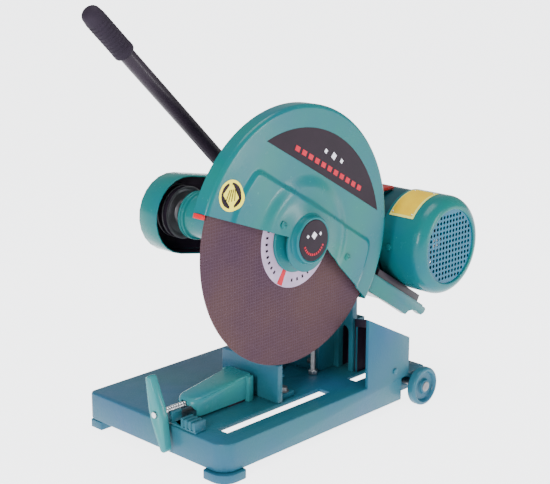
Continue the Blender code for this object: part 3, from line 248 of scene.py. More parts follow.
def rubber(name, colour, shade, roughness=0.72):
    """Moulded rubber or plastic with a pebbled skin."""
    graph = Graph(name, roughness)
    graph.colour(graph.ramp(graph.noise(18.0, 4.0), 0.35, 0.7, shade, colour))
    graph.roughness(graph.noise(50.0, 3.0), roughness - 0.1, roughness + 0.1)
    graph.bump(graph.noise(650.0, 4.0), 0.45, 0.0006)
    return graph.material


def printed(name, colour, shade, roughness=0.42):
    """Printed foil or paper: nearly even ink with a slight mottle."""
    graph = Graph(name, roughness)
    graph.colour(graph.ramp(graph.noise(45.0, 5.0), 0.3, 0.72, shade, colour))
    graph.bump(graph.noise(800.0, 2.0), 0.12, 0.0002)
    return graph.material


# Paints, prints and rubbers: how each is made, its name, its two display colours, roughness
PAINTS = (
    (enamel, "teal_enamel", (14, 94, 88), (12, 84, 94)),
    (cast_enamel, "base_enamel", (36, 88, 96), (34, 76, 104)),
    (enamel, "vise_enamel", (44, 116, 116), (40, 104, 120)),
    (enamel, "grille_enamel", (16, 88, 112), (14, 80, 104)),
    (satin_paint, "dark_enamel", (8, 60, 68), (6, 48, 56), 0.42),
    # painted shade: a dark purple that stands in for the shade inside the belt cover, the spark
    # chute, the blind arch and under the vise slide
    (satin_paint, "inside_paint", (36, 24, 40), (28, 18, 32), 0.6),
    (satin_paint, "black_paint", (32, 24, 34), (24, 18, 26)),
    (rubber, "rubber", (36, 28, 40), (26, 20, 30)),
    (rubber, "red_rubber", (190, 10, 30), (170, 8, 24), 0.5),
    (printed, "plate", (206, 172, 26), (198, 160, 22)),
    (printed, "plate_edge", (206, 202, 110), (196, 192, 100)),
    (satin_paint, "red_lid", (140, 28, 22), (120, 20, 18), 0.35),
    (rubber, "dark_plastic", (32, 30, 34), (24, 22, 26), 0.45),
    (printed, "decal_black", (24, 6, 22), (18, 4, 18), 0.5),
    (printed, "decal_red", (176, 8, 40), (160, 6, 34)),
    (printed, "decal_white", (226, 224, 232), (206, 204, 214)),
    (printed, "sticker", (232, 220, 60), (222, 206, 48)),
    (printed, "label_paper", (164, 148, 172), (148, 132, 156), 0.6),
)


def make_materials():
    """Every look, by name: a record slot's own, a print, or painted shade."""
    looks = {name: make(name, srgb(*colour), srgb(*shade), *roughness)
             for make, name, colour, shade, *roughness in PAINTS}
    looks["abrasive"] = abrasive()
    for name, colour, shade, roughness in (
            ("steel", (0.62, 0.62, 0.64, 1), (0.45, 0.45, 0.47, 1), 0.3),
            ("dark_steel", (0.2, 0.2, 0.21, 1), (0.11, 0.11, 0.12, 1), 0.42),
            ("winding", (0.6, 0.28, 0.13, 1), (0.42, 0.18, 0.08, 1), 0.35)):
        looks[name] = turned_steel(name, colour, shade, roughness)
    return looks


# ---- mesh helpers

def placed_mesh(name, bm):
    """Move a bmesh from the saw's layout into the frame and make it a mesh."""
    bmesh.ops.recalc_face_normals(bm, faces=bm.faces)
    bmesh.ops.transform(bm, matrix=Matrix.Translation(ORIGIN), verts=bm.verts)
    mesh = bpy.data.meshes.new(name)
    bm.to_mesh(mesh)
    bm.free()
    return mesh


def link_new(name, data):
    """A new object for the data, in the scene."""
    obj = bpy.data.objects.new(name, data)
    bpy.context.scene.collection.objects.link(obj)
    return obj


def piece(name, bm, look, body, nodes=()):
    """Turn a bmesh in the saw's layout into a piece that rides on a body."""
    return register(name, placed_mesh(name, bm), look, body, nodes)


def register(name, mesh, look, body, nodes=()):
    """Make the mesh a visible piece: its look, its body and the nodes it replaces."""
    smooth_below(mesh, 32)
    mesh.materials.clear()
    mesh.materials.append(LOOKS[look])
    obj = link_new(name, mesh)
    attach(obj, body)
    if nodes:
        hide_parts(*nodes)
    return obj


def bevel(obj, width, segments):
    """Round every edge sharper than 30 degrees."""
    modifier = obj.modifiers.new("soft_edges", "BEVEL")
    modifier.width = width
    modifier.segments = segments
    modifier.limit_method = "ANGLE"
    modifier.angle_limit = radians(30)
    bake_modifiers(obj)


def bake_modifiers(obj):
    """Replace the object's mesh by the one its modifiers make."""
    graph = bpy.context.evaluated_depsgraph_get()
    mesh = bpy.data.meshes.new_from_object(obj.evaluated_get(graph))
    obj.modifiers.clear()
    obj.data = mesh


def cut(obj, bm):
    """Cut a bmesh in the saw's layout out of the piece."""
    tool = link_new("tool", placed_mesh("tool", bm))
    modifier = obj.modifiers.new("cut", "BOOLEAN")
    modifier.operation = "DIFFERENCE"
    modifier.solver = "EXACT"
    modifier.object = tool
    bake_modifiers(obj)
    bpy.data.objects.remove(tool)


def smooth_below(mesh, degrees):
    """Shade the mesh smooth, except at edges sharper than the angle."""
    mesh.shade_smooth()
    mesh.set_sharp_from_angle(angle=radians(degrees))


def softened(node, body, look, width, segments=3, name=None):
    """The CAD node's shape with its flats merged and its sharp edges rounded."""
    name = name or f"{node}_cast"
    bm = bmesh.new()
    bm.from_mesh(frame["nodes"][node].data)
    bmesh.ops.remove_doubles(bm, verts=bm.verts, dist=2e-5)
    bmesh.ops.dissolve_limit(bm, angle_limit=radians(0.8), verts=bm.verts, edges=bm.edges)
    mesh = bpy.data.meshes.new(name)
    bm.to_mesh(mesh)
    bm.free()
    obj = register(name, mesh, look, body, [node])
    bevel(obj, width, segments)
    smooth_below(obj.data, 50)
    return obj


def rounded_corners(points, radius, steps=5, closed=False):
    """Replace each corner of a 2-D line by an arc of about the radius."""
    count = len(points)
    result = []
    for i, point in enumerate(points):
        if not closed and i in (0, count - 1):
            result.append(tuple(point))
            continue
        here, before, after = (Vector(points[k % count]) for k in (i, i - 1, i + 1))
        to_before = before - here
        to_after = after - here
        reach = min(radius, to_before.length * 0.45, to_after.length * 0.45)
        start = here + to_before.normalized() * reach
        end = here + to_after.normalized() * reach
        for k in range(steps + 1):
            t = k / steps
            spot = start * (1 - t) ** 2 + here * 2 * t * (1 - t) + end * t ** 2
            result.append(tuple(spot))
    return result


def axis_point(along, a, b, centre, axis):
    """A point given by its place along an axis and its offsets (a, b) from it."""
    if axis == "x":
        return (along, centre[0] + a, centre[1] + b)
    if axis == "y":
        return (centre[0] + a, along, centre[1] + b)
    return (centre[0] + a, centre[1] + b, along)


def ring(bm, along, radius, centre, axis, segments):
    """Vertices of a circle round an axis, or one vertex on it where the radius is nil."""
    if radius < 1e-6:
        return [bm.verts.new(axis_point(along, 0.0, 0.0, centre, axis))]
    turns = [2 * pi * i / segments for i in range(segments)]
    return [bm.verts.new(axis_point(along, radius * cos(turn), radius * sin(turn),
                                    centre, axis)) for turn in turns]


def lathe(profile, centre, axis="x", segments=96, closed=False, bm=None):
    """Revolve (along, radius) points about an axis; points on the axis become poles."""
    bm = bm or bmesh.new()
    rings = [ring(bm, along, radius, centre, axis, segments) for along, radius in profile]
    pairs = list(zip(rings, rings[1:]))
    if closed:
        pairs.append((rings[-1], rings[0]))
    for first, second in pairs:
        bridge(bm, first, second)
    return bm


def bridge(bm, first, second):
    """Faces between two rings of the same count, or between a ring and a pole."""
    count = max(len(first), len(second))
    if count == 1:
        return
    for i in range(count):
        j = (i + 1) % count
        corners = [first[i % len(first)], first[j % len(first)],
                   second[j % len(second)], second[i % len(second)]]
        unique = [c for k, c in enumerate(corners) if c not in corners[:k]]
        bm.faces.new(unique)


def capped(bm, first, second):
    """A closed solid between two matching loops of points."""
    rings = [[bm.verts.new(point) for point in loop] for loop in (first, second)]
    bm.faces.new(rings[0])
    bm.faces.new(rings[1])
    bridge(bm, rings[0], rings[1])


def extruded(outline, span, axis="x", bm=None):
    """A closed outline swept straight along one axis."""
    bm = bm or bmesh.new()
    loops = [[axis_point(along, a, b, (0.0, 0.0), axis) for a, b in outline] for along in span]
    capped(bm, *loops)
    return bm


def rectangle(low, high):
    """Outline of the rectangle between two opposite corners."""
    return [(low[0], low[1]), (high[0], low[1]), (high[0], high[1]), (low[0], high[1])]


def arc(centre, radius, start, stop, steps):
    """Points of an arc, with angles in degrees."""
    return [(centre[0] + radius * cos(radians(start + (stop - start) * i / steps)),
             centre[1] + radius * sin(radians(start + (stop - start) * i / steps)))
            for i in range(steps + 1)]


def band(centre, first, second, start, stop, steps):
    """Outline of a part of a ring, between two radii and two angles."""
    return arc(centre, first, start, stop, steps) + arc(centre, second, stop, start, steps)


def smooth_step(value):
    """0 below nil, 1 above one, and a smooth rise between."""
    t = min(1.0, max(0.0, value))
    return t * t * (3 - 2 * t)


# ---- guard

SHOULDER_CENTRE = (0.202, 0.322)
SHOULDER_RADIUS = 0.161
CHORD_POINT = (0.106, 0.449)
CHORD_SLOPE = -0.61
SHOULDER_HEIGHT = 0.004
STEP_WIDTH = 0.007
CROWN_RADIUS = 0.079
CROWN_FOOT = 0.106
DOME_HEIGHT = 0.006
HUB_PLACE = (0.199, 0.3310)
RIM_FILLET = 0.007
CONE_FALL = 0.0040  # how far the face falls back from the crown's foot to the rim
DOME_TOP = 0.030  # radius where the dome has risen fully
HUB_DISC = 0.046  # radius kept round the spindle where the wedge is cut away


def inside_shoulder(y, z):
    """How far a point lies inside the raised middle of the guard, rounded at its corners."""
    from_circle = SHOULDER_RADIUS - hypot(y - SHOULDER_CENTRE[0], z - SHOULDER_CENTRE[1])
    lean = hypot(1.0, CHORD_SLOPE)
    from_chord = (CHORD_POINT[1] + CHORD_SLOPE * (y - CHORD_POINT[0]) - z) / lean
    blend_width = 0.010
    part = max(blend_width - abs(from_circle - from_chord), 0.0) / blend_width
    return min(from_circle, from_chord) - part * part * blend_width / 4


def guard_height(y, z):
    """x of the pressed front sheet at a place on the guard's face."""
    radius = hypot(y - SPINDLE[0], z - SPINDLE[1])
    cone = CONE_FALL * max(0.0, (radius - CROWN_FOOT) / (GUARD_RADIUS - CROWN_FOOT))
    shoulder = SHOULDER_HEIGHT * smooth_step(inside_shoulder(y, z) / STEP_WIDTH + 0.5)
    rise = smooth_step((CROWN_FOOT - radius) / (CROWN_FOOT - CROWN_RADIUS))
    crown = (CROWN_HEIGHT - SHOULDER_HEIGHT) * rise
    dome = DOME_HEIGHT * smooth_step((CROWN_RADIUS - radius) / (CROWN_RADIUS - DOME_TOP))
    return GUARD_FACE - cone + shoulder + crown + dome


def below_guard():
    """The wedge that the guard leaves open below the spindle, with the hub's disc kept."""
    reach = 0.34  # well past the rim
    y0, z0 = SPINDLE
    front = (y0 + reach * cos(FRONT_CUT), z0 + reach * sin(FRONT_CUT))
    start = (y0 + REAR_CUT_START, z0)
    rear = (start[0] + reach * cos(REAR_CUT), start[1] + reach * sin(REAR_CUT))
    along = HUB_DISC - REAR_CUT_START * cos(REAR_CUT)
    rear_angle = math.degrees(math.atan2(along * sin(REAR_CUT),
                                         REAR_CUT_START + along * cos(REAR_CUT)))
    hub_arc = arc(SPINDLE, HUB_DISC, rear_angle, math.degrees(FRONT_CUT) - 360, 28)
    outline = hub_arc + [front, (y0 - reach, z0 - reach), (rear[0], z0 - reach), rear]
    return extruded(outline, (-0.09, 0.03))


def make_guard():
    """Pressed guard: three levels on its face, a rolled rim and the two straight cuts."""
    flat_end = GUARD_RADIUS - RIM_FILLET
    step = 0.0021
    count = int((flat_end - GUARD_BORE) / step)
    segments = 300
    fillet_steps = 8
    bm = bmesh.new()
    rings = [ring(bm, 0.0, GUARD_BORE + (flat_end - GUARD_BORE) * i / count, SPINDLE, "x", segments)
             for i in range(count + 1)]
    for vert in bm.verts:
        vert.co.x = guard_height(vert.co.y, vert.co.z)
    face_edge = guard_height(SPINDLE[0] + flat_end, SPINDLE[1])
    for k in range(1, fillet_steps + 1):
        turn = radians(90 * k / fillet_steps)
        rings.append(ring(bm, face_edge - RIM_FILLET * (1 - cos(turn)),
                          flat_end + RIM_FILLET * sin(turn), SPINDLE, "x", segments))
    rings.append(ring(bm, GUARD_LOW.x, GUARD_RADIUS, SPINDLE, "x", segments))
    for first, second in zip(rings, rings[1:]):
        bridge(bm, first, second)
    guard = piece("guard_pressing", bm, "teal_enamel", "head", ["guard_shell"])
    sheet = guard.modifiers.new("sheet", "SOLIDIFY")
    sheet.thickness = GUARD_SHEET
    sheet.offset = -1.0
    bake_modifiers(guard)
    cut(guard, below_guard())
    smooth_below(guard.data, 38)


def make_hub():
    """Turned cap over the spindle's end with a plain dark badge and generic marks."""
    high = layout_box("hub_cap")[1]
    radius = 0.0375
    start, front = guard_height(*SPINDLE) - 0.004, high.x - 0.002
    profile = [(start, radius + 0.0040), (start + 0.0025, radius + 0.0036),
               (start + 0.0042, radius + 0.0008), (start + 0.0062, radius),
               (front - 0.0030, radius - 0.0006)]
    profile += arc((front - 0.0030, radius - 0.0036), 0.0030, 75, 0, 5)
    profile += [(front - 0.0008, radius - 0.0046), (front - 0.0012, radius - 0.0050),
                (front - 0.0012, 0.001), (front - 0.0035, 0.001),
                (front - 0.0035, radius - 0.0065), (start, radius - 0.0060)]
    piece("hub_cap_turned", lathe(profile, HUB_PLACE, closed=True), "teal_enamel", "head",
          ["hub_cap"])
    badge_radius = radius - 0.0050 - AIR
    badge = [(front - 0.0012 + AIR / 2, badge_radius), (front - 0.0003, badge_radius - 0.0008),
             (front + 0.0002, badge_radius * 0.6), (front + 0.0003, 0.0),
             (front - 0.0012 + AIR / 2, 0.0)]
    piece("hub_badge", lathe(badge, HUB_PLACE), "decal_black", "head")
    ring_of_dashes(front + 0.0004)


def ring_of_dashes(x):
    """Generic ornament on the badge: an arc of short red dashes and three white marks."""
    bm = bmesh.new()
    radius, height = 0.0235, 0.0034
    for degrees in range(200, 341, 12):
        outline = band(HUB_PLACE, radius, radius - height, degrees - 3.4, degrees + 3.4, 3)
        extruded(outline, (x - 0.0004, x), bm=bm)
    piece("badge_dashes", bm, "decal_red", "head")
    bm = bmesh.new()
    for centre, size in (((0.0, 0.008), 0.0062), ((-0.014, 0.0085), 0.0030),
                         ((0.014, 0.0085), 0.0030)):
        middle = (HUB_PLACE[0] + centre[0], HUB_PLACE[1] + centre[1])
        extruded(arc(middle, size, 0, 270, 3), (x - 0.0003, x + 0.0001), bm=bm)
    piece("badge_marks", bm, "decal_white", "head")


def on_guard(outlines, lift, name, look, thickness=0.0003):
    """Thin decals that lie on the guard's pressed face, as one piece."""
    bm = bmesh.new()
    for outline in outlines:
        bm.faces.new([bm.verts.new((0.0, y, z)) for y, z in outline])
    bmesh.ops.triangulate(bm, faces=bm.faces)
    longest, most_rounds = 0.005, 8
    for _ in range(most_rounds):
        edges = [e for e in bm.edges if e.calc_length() > longest]
        if not edges:
            break
        bmesh.ops.subdivide_edges(bm, edges=edges, cuts=1)
        bmesh.ops.triangulate(bm, faces=bm.faces)
    for vert in bm.verts:
        vert.co.x = guard_height(vert.co.y, vert.co.z) + lift
    bmesh.ops.recalc_face_normals(bm, faces=bm.faces)
    if sum(face.normal.x * face.calc_area() for face in bm.faces) < 0:
        bmesh.ops.reverse_faces(bm, faces=bm.faces)
    rims = [edge for edge in bm.edges if edge.is_boundary]
    back = bmesh.ops.duplicate(bm, geom=bm.verts[:] + bm.edges[:] + bm.faces[:])
    lower = [item for item in back["geom"] if isinstance(item, bmesh.types.BMVert)]
    bmesh.ops.translate(bm, vec=(-thickness, 0.0, 0.0), verts=lower)
    under = back["vert_map"]
    for edge in rims:
        start, stop = edge.verts
        bm.faces.new((start, stop, under[stop], under[start]))
    piece(name, bm, look, "head")


def make_decals():
    """Dark crescent above the chord with generic bars and marks, and the round sticker."""
    centre, radius = (0.189, 0.305), 0.1955
    middle_angle, half_angle = 60.06, 49.15
    on_guard([arc(centre, radius, middle_angle - half_angle, middle_angle + half_angle, 60)],
             AIR, "guard_crescent", "decal_black")
    out = Vector((cos(radians(middle_angle)), sin(radians(middle_angle))))
    way = Vector((out.y, -out.x))
    chord_middle = Vector(centre) + out * radius * cos(radians(half_angle))
    bars = []
    for index in range(11):
        spot = chord_middle + way * (index - 5) * 0.0165 + out * 0.0150
        bars.append([tuple(spot + way * a + out * b)
                     for a, b in rectangle((-0.0052, -0.0040), (0.0052, 0.0040))])
    on_guard(bars, AIR + 0.0004, "crescent_bars", "decal_red")
    marks = [arc(chord_middle + way * shift + out * 0.036, size, 0, 270, 3)
             for shift, size in ((-0.021, 0.0042), (0.0, 0.0066), (0.021, 0.0042))]
    on_guard(marks, AIR + 0.0004, "crescent_marks", "decal_white")
    make_sticker((0.051, 0.4205))


def make_sticker(centre):
    """Yellow disc with a broken dark ring and slanted strokes."""
    on_guard([arc(centre, 0.0232, 0, 352, 44)], AIR, "sticker_disc", "sticker")
    rings = [band(centre, 0.0190, 0.0158, *angles, 20) for angles in ((100, 255), (-75, 80))]
    on_guard(rings, AIR + 0.0004, "sticker_rings", "decal_black")
    strokes = []
    for index in range(4):
        low = (centre[0] + (index - 1.5) * 0.0058 - 0.0028, centre[1] - 0.0085)
        high = (centre[0] + (index - 1.5) * 0.0035 + 0.0030, centre[1] + 0.0085)
        strokes.append([(low[0] - 0.0007, low[1]), (low[0] + 0.0007, low[1]),
                        (high[0] + 0.0007, high[1]), (high[0] - 0.0007, high[1])])
    on_guard(strokes, AIR + 0.0004, "sticker_strokes", "decal_black")


def make_guard_screws():
    """Pan head screws with a cross slot and a washer."""
    for node in ("guard_screw_1", "guard_screw_2"):
        centre = round_axis(node)
        face = guard_height(*centre)
        head = [(face + 0.0002, 0.0), (face + 0.0002, 0.0062), (face + 0.0012, 0.0062),
                (face + 0.0013, 0.0048), (face + 0.0026, 0.0042), (face + 0.0034, 0.0026),
                (face + 0.0036, 0.0)]
        screw = piece(f"{node}_pan", lathe(head, centre, segments=32), "teal_enamel", "head",
                      [node])
        for wide, tall in ((0.0005, 0.0030), (0.0030, 0.0005)):
            slot = rectangle((centre[0] - wide, centre[1] - tall),
                             (centre[0] + wide, centre[1] + tall))
            cut(screw, extruded(slot, (face + 0.0022, face + 0.006)))


# ---- cutting wheel

def make_cutting_wheel():
    """Wheel with worn edges and, on each face, a plain paper ring with ticks and one mark."""
    low, high = WHEEL_LOW.x, WHEEL_HIGH.x
    edge, worn = WHEEL_RADIUS, 0.0006
    outline = [(low, SPINDLE_BORE), (low, edge - worn), (low + worn, edge), (high - worn, edge),
               (high, edge - worn), (high, SPINDLE_BORE)]
    piece("wheel_abrasive", lathe(outline, SPINDLE, segments=180, closed=True), "abrasive",
          "spindle", ["cutting_wheel"])
    ring_in, ring_out = 0.0500, 0.0757
    for name, face, way in (("wheel_label", high, 1), ("wheel_label_back", low, -1)):
        label = [(face + way * 0.0001, ring_in), (face + way * 0.0001, ring_out),
                 (face + way * 0.0004, ring_out - 0.0003), (face + way * 0.0004, ring_in)]
        piece(name, lathe(label, SPINDLE, segments=120, closed=True), "label_paper", "spindle")
    mark = band(SPINDLE, ring_out - 0.001, ring_in, 236, 245, 4)
    piece("label_mark", extruded(mark, (high + 0.0004, high + 0.0007)), "decal_red", "spindle")
    bm = bmesh.new()
    for degrees in list(range(150, 226, 9)) + list(range(262, 330, 11)):
        dash = band(SPINDLE, 0.0665, 0.0615, degrees - 1.6, degrees + 1.6, 2)
        extruded(dash, (high + 0.0004, high + 0.0006), bm=bm)
    piece("label_ticks", bm, "decal_black", "spindle")


def make_flanges():
    """Dished clamping flanges with a rolled rim, and the chamfered spindle nut."""
    for node, look in (("outer_flange", "teal_enamel"), ("inner_flange", "steel")):
        low, high = layout_box(node)
        near_disc, way = (low.x, 1) if node == "outer_flange" else (high.x, -1)
        deep = high.x - low.x
        raw = [(0.0, SPINDLE_BORE), (0.0, FLANGE_RADIUS), (deep * 0.5, FLANGE_RADIUS),
               (deep * 0.62, 0.046), (deep, 0.0365), (deep, SPINDLE_BORE)]
        loop = rounded_corners([(near_disc + way * a, r) for a, r in raw], 0.0018, 4, True)
        piece(f"{node}_turned", lathe(loop, SPINDLE, closed=True, segments=72), look,
              "spindle", [node])
    softened("spindle_nut", "spindle", "steel", 0.0012, name="spindle_nut_forged")


# ---- motor

def make_cowl():
    """Fan cowl: rolled shoulder, then a flat round face full of square-set holes."""
    x0, x1 = COWL_LOW.x, COWL_HIGH.x
    outer = COWL_RADIUS
    rim = 0.0655
    sheet = 0.0016
    straight_end = x1 - 0.022
    turns = range(0, 91, 6)
    shoulder = [(straight_end + (x1 - straight_end) * sin(radians(a)),
                 rim + (outer - rim) * cos(radians(a))) for a in turns]
    profile = [(x0, outer), (x0 + 0.0005, outer + 0.0001)] + shoulder
    profile += [(x1 - 0.0004, rim - 0.0010), (x1 - 0.0012, rim - 0.0016)]
    shell = profile + [(x1 - 0.0034 - sheet, rim - 0.0016), (x1 - 0.0038 - sheet, rim)]
    shell += [(a - sheet * sin(radians(t)), r - sheet * cos(radians(t)))
              for (a, r), t in reversed(list(zip(shoulder, turns)))][1:]
    shell += [(x0, outer - sheet)]
    piece("fan_cowl_shell", lathe(shell, MOTOR, segments=120, closed=True), "teal_enamel",
          "head", ["motor_fan_cowl"])
    make_grille(x1 - 0.0030, rim - 0.0014, sheet)


def make_grille(x, radius, sheet):
    """Round sheet with a square grid of holes."""
    disc = [(x, 0.0), (x, radius), (x - sheet, radius), (x - sheet, 0.0)]
    grille = piece("fan_grille", lathe(disc, MOTOR, segments=96), "grille_enamel", "head")
    pitch, hole = 0.0088, 0.0031
    reach = radius - 0.0048
    bm = bmesh.new()
    steps = int(reach / pitch) + 1
    for row in range(-steps, steps + 1):
        for column in range(-steps, steps + 1):
            y, z = column * pitch, row * pitch
            if hypot(y, z) <= reach:
                centre = (MOTOR[0] + y, MOTOR[1] + z)
                extruded(arc(centre, hole, 0, 324, 9), (x - 0.01, x + 0.01), bm=bm)
    cut(grille, bm)


def wrapped_plate(name, radius, thickness, degrees, x_span, look, nodes=()):
    """A thin plate bent round the motor's axis."""
    outline = band(MOTOR, radius, radius + thickness, *degrees, 24)
    piece(name, extruded(outline, x_span), look, "head", nodes)


def make_name_plate():
    """Plain two-tone plate wrapped on the cowl, held by four rivets; it carries no text."""
    low, high = layout_box("motor_name_plate")
    wrapped_plate("name_plate_foil", COWL_RADIUS + 0.0003, 0.0006, (88, 141),
                  (low.x, high.x), "plate_edge", ["motor_name_plate"])
    wrapped_plate("name_plate_print", COWL_RADIUS + 0.0009, 0.0003, (90, 138),
                  (low.x + 0.002, high.x - 0.004), "plate")
    bm = bmesh.new()
    for degrees in (92, 136):
        for x in (low.x + 0.0045, high.x - 0.0060):
            spot = Vector((x, *arc(MOTOR, COWL_RADIUS + 0.0012, degrees, degrees, 1)[0]))
            bmesh.ops.create_uvsphere(bm, u_segments=16, v_segments=8, radius=0.0016,
                                      matrix=Matrix.Translation(spot))
    piece("name_plate_rivets", bm, "steel", "head")


def make_motor_body():
    """Motor frame with cooling ribs, its shields, terminal box, slide plate and cowl bolt."""
    softened("motor_body", "head", "dark_enamel", 0.0012)
    low, high = layout_box("motor_body")
    radius = 0.0822
    bm = bmesh.new()
    for degrees in list(range(150, 216, 7)) + list(range(-36, 44, 7)):
        way = Vector(arc((0.0, 0.0), 1.0, degrees, degrees, 1)[0])
        side = Vector((-way.y, way.x)) * 0.0009
        foot = Vector(MOTOR) + way * radius
        top = Vector(MOTOR) + way * (radius + 0.0055)
        outline = [foot - side * 1.6, foot + side * 1.6, top + side, top - side]
        extruded(outline, (low.x + 0.006, high.x - 0.012), bm=bm)
    piece("motor_ribs", bm, "dark_enamel", "head")
    for node in ("motor_shield_drive", "motor_shield_fan", "terminal_box"):
        softened(node, "head", "dark_enamel", 0.0015)
    softened("terminal_box_lid", "head", "red_lid", 0.001)
    # The slide plate's black is painted shade: the dark band under the motor.
    softened("motor_slide_plate", "head", "black_paint", 0.0012)
    bolt_spot = arc(MOTOR, COWL_RADIUS, 178, 178, 1)[0]
    profile = [(-0.0030, 0.0), (-0.0030, 0.0055), (-0.0060, 0.0052), (-0.0068, 0.0036),
               (-0.0070, 0.0)]
    bm = lathe([(bolt_spot[0] + 0.0022 + a, r) for a, r in profile], (-0.056, bolt_spot[1]),
               axis="y", segments=24)
    piece("cowl_bolt", bm, "teal_enamel", "head")


# ---- belt drive

def make_belt_drive():
    """Cover with soft edges and painted shade on its inside, its two studs, and pulleys with turned
    rims.
    """
    cover = softened("belt_cover", "head", "teal_enamel", 0.0009, 2)
    cover.data.materials.append(LOOKS["inside_paint"])
    low, high = layout_box("belt_cover")
    # The cover's floor and inward walls take the second material: painted shade for the dark inside
    # of the cover.
    for face in cover.data.polygons:
        centre = face.center - ORIGIN
        is_floor = face.normal.x > 0.9 and centre.x < low.x + 0.004
        is_wall = abs(face.normal.x) < 0.3 and centre.x < high.x - 0.002
        if is_floor or is_wall and inward(centre, face.normal):
            face.material_index = 1
    for node, centre in (("spindle_pulley", SPINDLE), ("motor_pulley", MOTOR)):
        make_pulley(node, centre)
    for node in ("cover_stud_1", "cover_stud_2"):
        softened(node, "head", "teal_enamel", 0.0008, 2)


def inward(centre, normal):
    """Whether a wall face of the belt cover looks towards the line between the shafts."""
    start, end = Vector(SPINDLE), Vector(MOTOR)
    way = (end - start).normalized()
    point = centre.yz
    along = min((end - start).length, max(0.0, (point - start).dot(way)))
    nearest = start + way * along
    return (nearest - point).dot(normal.yz) > 0


def make_pulley(node, centre):
    """Two V grooves with rounded lands and a dished near side with its hub."""
    low, high = layout_box(node)
    radius = (high.z - low.z) / 2
    bore = 0.0153 if node == "spindle_pulley" else 0.0123
    middle = (low.x + high.x) / 2
    deep, top, bottom = 0.009, 0.0050, 0.0024
    loop = [(low.x, bore), (low.x, radius)]
    for offset in (-0.006, 0.006):
        loop += [(middle + offset - top, radius), (middle + offset - bottom, radius - deep),
                 (middle + offset + bottom, radius - deep), (middle + offset + top, radius)]
    loop += [(high.x, radius), (high.x, radius - 0.0035), (high.x - 0.005, radius - 0.0065),
             (high.x - 0.005, bore + 0.0075), (high.x, bore + 0.0065), (high.x, bore)]
    loop = rounded_corners(loop, 0.0007, 2, True)
    body = "spindle" if node == "spindle_pulley" else "rotor"
    piece(f"{node}_turned", lathe(loop, centre, segments=72, closed=True), "dark_steel", body,
          [node])


def make_spindle_housing():
    """Housing tube: a grooved flange at its far end and a wider plain one at its near end."""
    low, high = layout_box("spindle_housing")
    tube, seat, groove, far, near, bore = 0.0358, 0.0264, 0.0380, 0.0402, 0.0428, 0.0170
    raw = [(low.x, seat), (low.x, far), (low.x + 0.0040, far), (low.x + 0.0048, groove),
           (low.x + 0.0066, groove), (low.x + 0.0074, far), (low.x + 0.0110, far),
           (low.x + 0.0130, tube), (high.x - 0.0125, tube), (high.x - 0.0105, near),
           (high.x, near), (high.x, bore), (high.x - 0.0030, bore), (high.x - 0.0030, seat)]
    loop = rounded_corners(raw, 0.0012, 3, True)
    piece("spindle_housing_turned", lathe(loop, SPINDLE, segments=96, closed=True),
          "teal_enamel", "head", ["spindle_housing"])


# ---- handle

BAR_RADIUS = 0.0120
GRIP_LENGTH = 0.093
HANDLE_LEAN = Vector((0.0, -0.3275, 0.323)).normalized()


def handle_ends():
    """Ends of the handle's axis, from the boxes of the bar and the grip."""
    low, high = layout_box("handle_bar")
    foot = Vector(((low.x + high.x) / 2, high.y - BAR_RADIUS * HANDLE_LEAN.z,
                   low.z + BAR_RADIUS * abs(HANDLE_LEAN.y)))
    reach = (layout_box("handle_grip")[1].z - foot.z - 0.0075) / HANDLE_LEAN.z
    return foot + HANDLE_LEAN * reach, foot


def along_handle(name, profile, foot, look, node):
    """A turned piece whose profile runs up the handle's axis from its foot."""
    bm = lathe(profile, (0.0, 0.0), axis="z", segments=48)
    turn = Matrix.Translation(foot) @ HANDLE_LEAN.to_track_quat("Z", "Y").to_matrix().to_4x4()
    bmesh.ops.transform(bm, matrix=turn, verts=bm.verts)
    piece(name, bm, look, "head", [node])


def make_handle():
    """Painted bar, and the rubber grip with a ribbed collar and a domed end."""
    tip, foot = handle_ends()
    length = (tip - foot).length
    radius = BAR_RADIUS
    rod = [(0.0005, 0.0), (0.0005, radius - 0.001), (0.0015, radius)]
    rod += [(0.0015 + (length - 0.012) * i / 40, radius) for i in range(1, 41)]
    rod += [(length - 0.0095, radius - 0.001), (length - 0.0095, 0.0)]
    along_handle("handle_tube", rod, foot, "black_paint", "handle_bar")
    start = length - GRIP_LENGTH
    inside = [(length - 0.0070, 0.0), (length - 0.0070, radius + 0.0003),
              (start, radius + 0.0003)]
    skin = [(start, 0.0145), (start + 0.0012, 0.0158), (start + 0.0030, 0.0164),
            (start + 0.0090, 0.0164)]
    for i in range(9):
        at = start + 0.012 + i * 0.0070
        skin += [(at, 0.0161), (at + 0.0012, 0.0152), (at + 0.0026, 0.0152),
                 (at + 0.0038, 0.0161)]
    dome, end_radius = 0.0120, 0.0150
    skin += [(length - dome, end_radius)]
    skin += [(length - dome + dome * sin(radians(a)),
              end_radius * cos(radians(a)) ** 0.7) for a in range(15, 90, 15)]
    skin += [(length, 0.0)]
    along_handle("grip_moulded", inside + skin, foot, "rubber", "handle_grip")


# ---- base and bracket

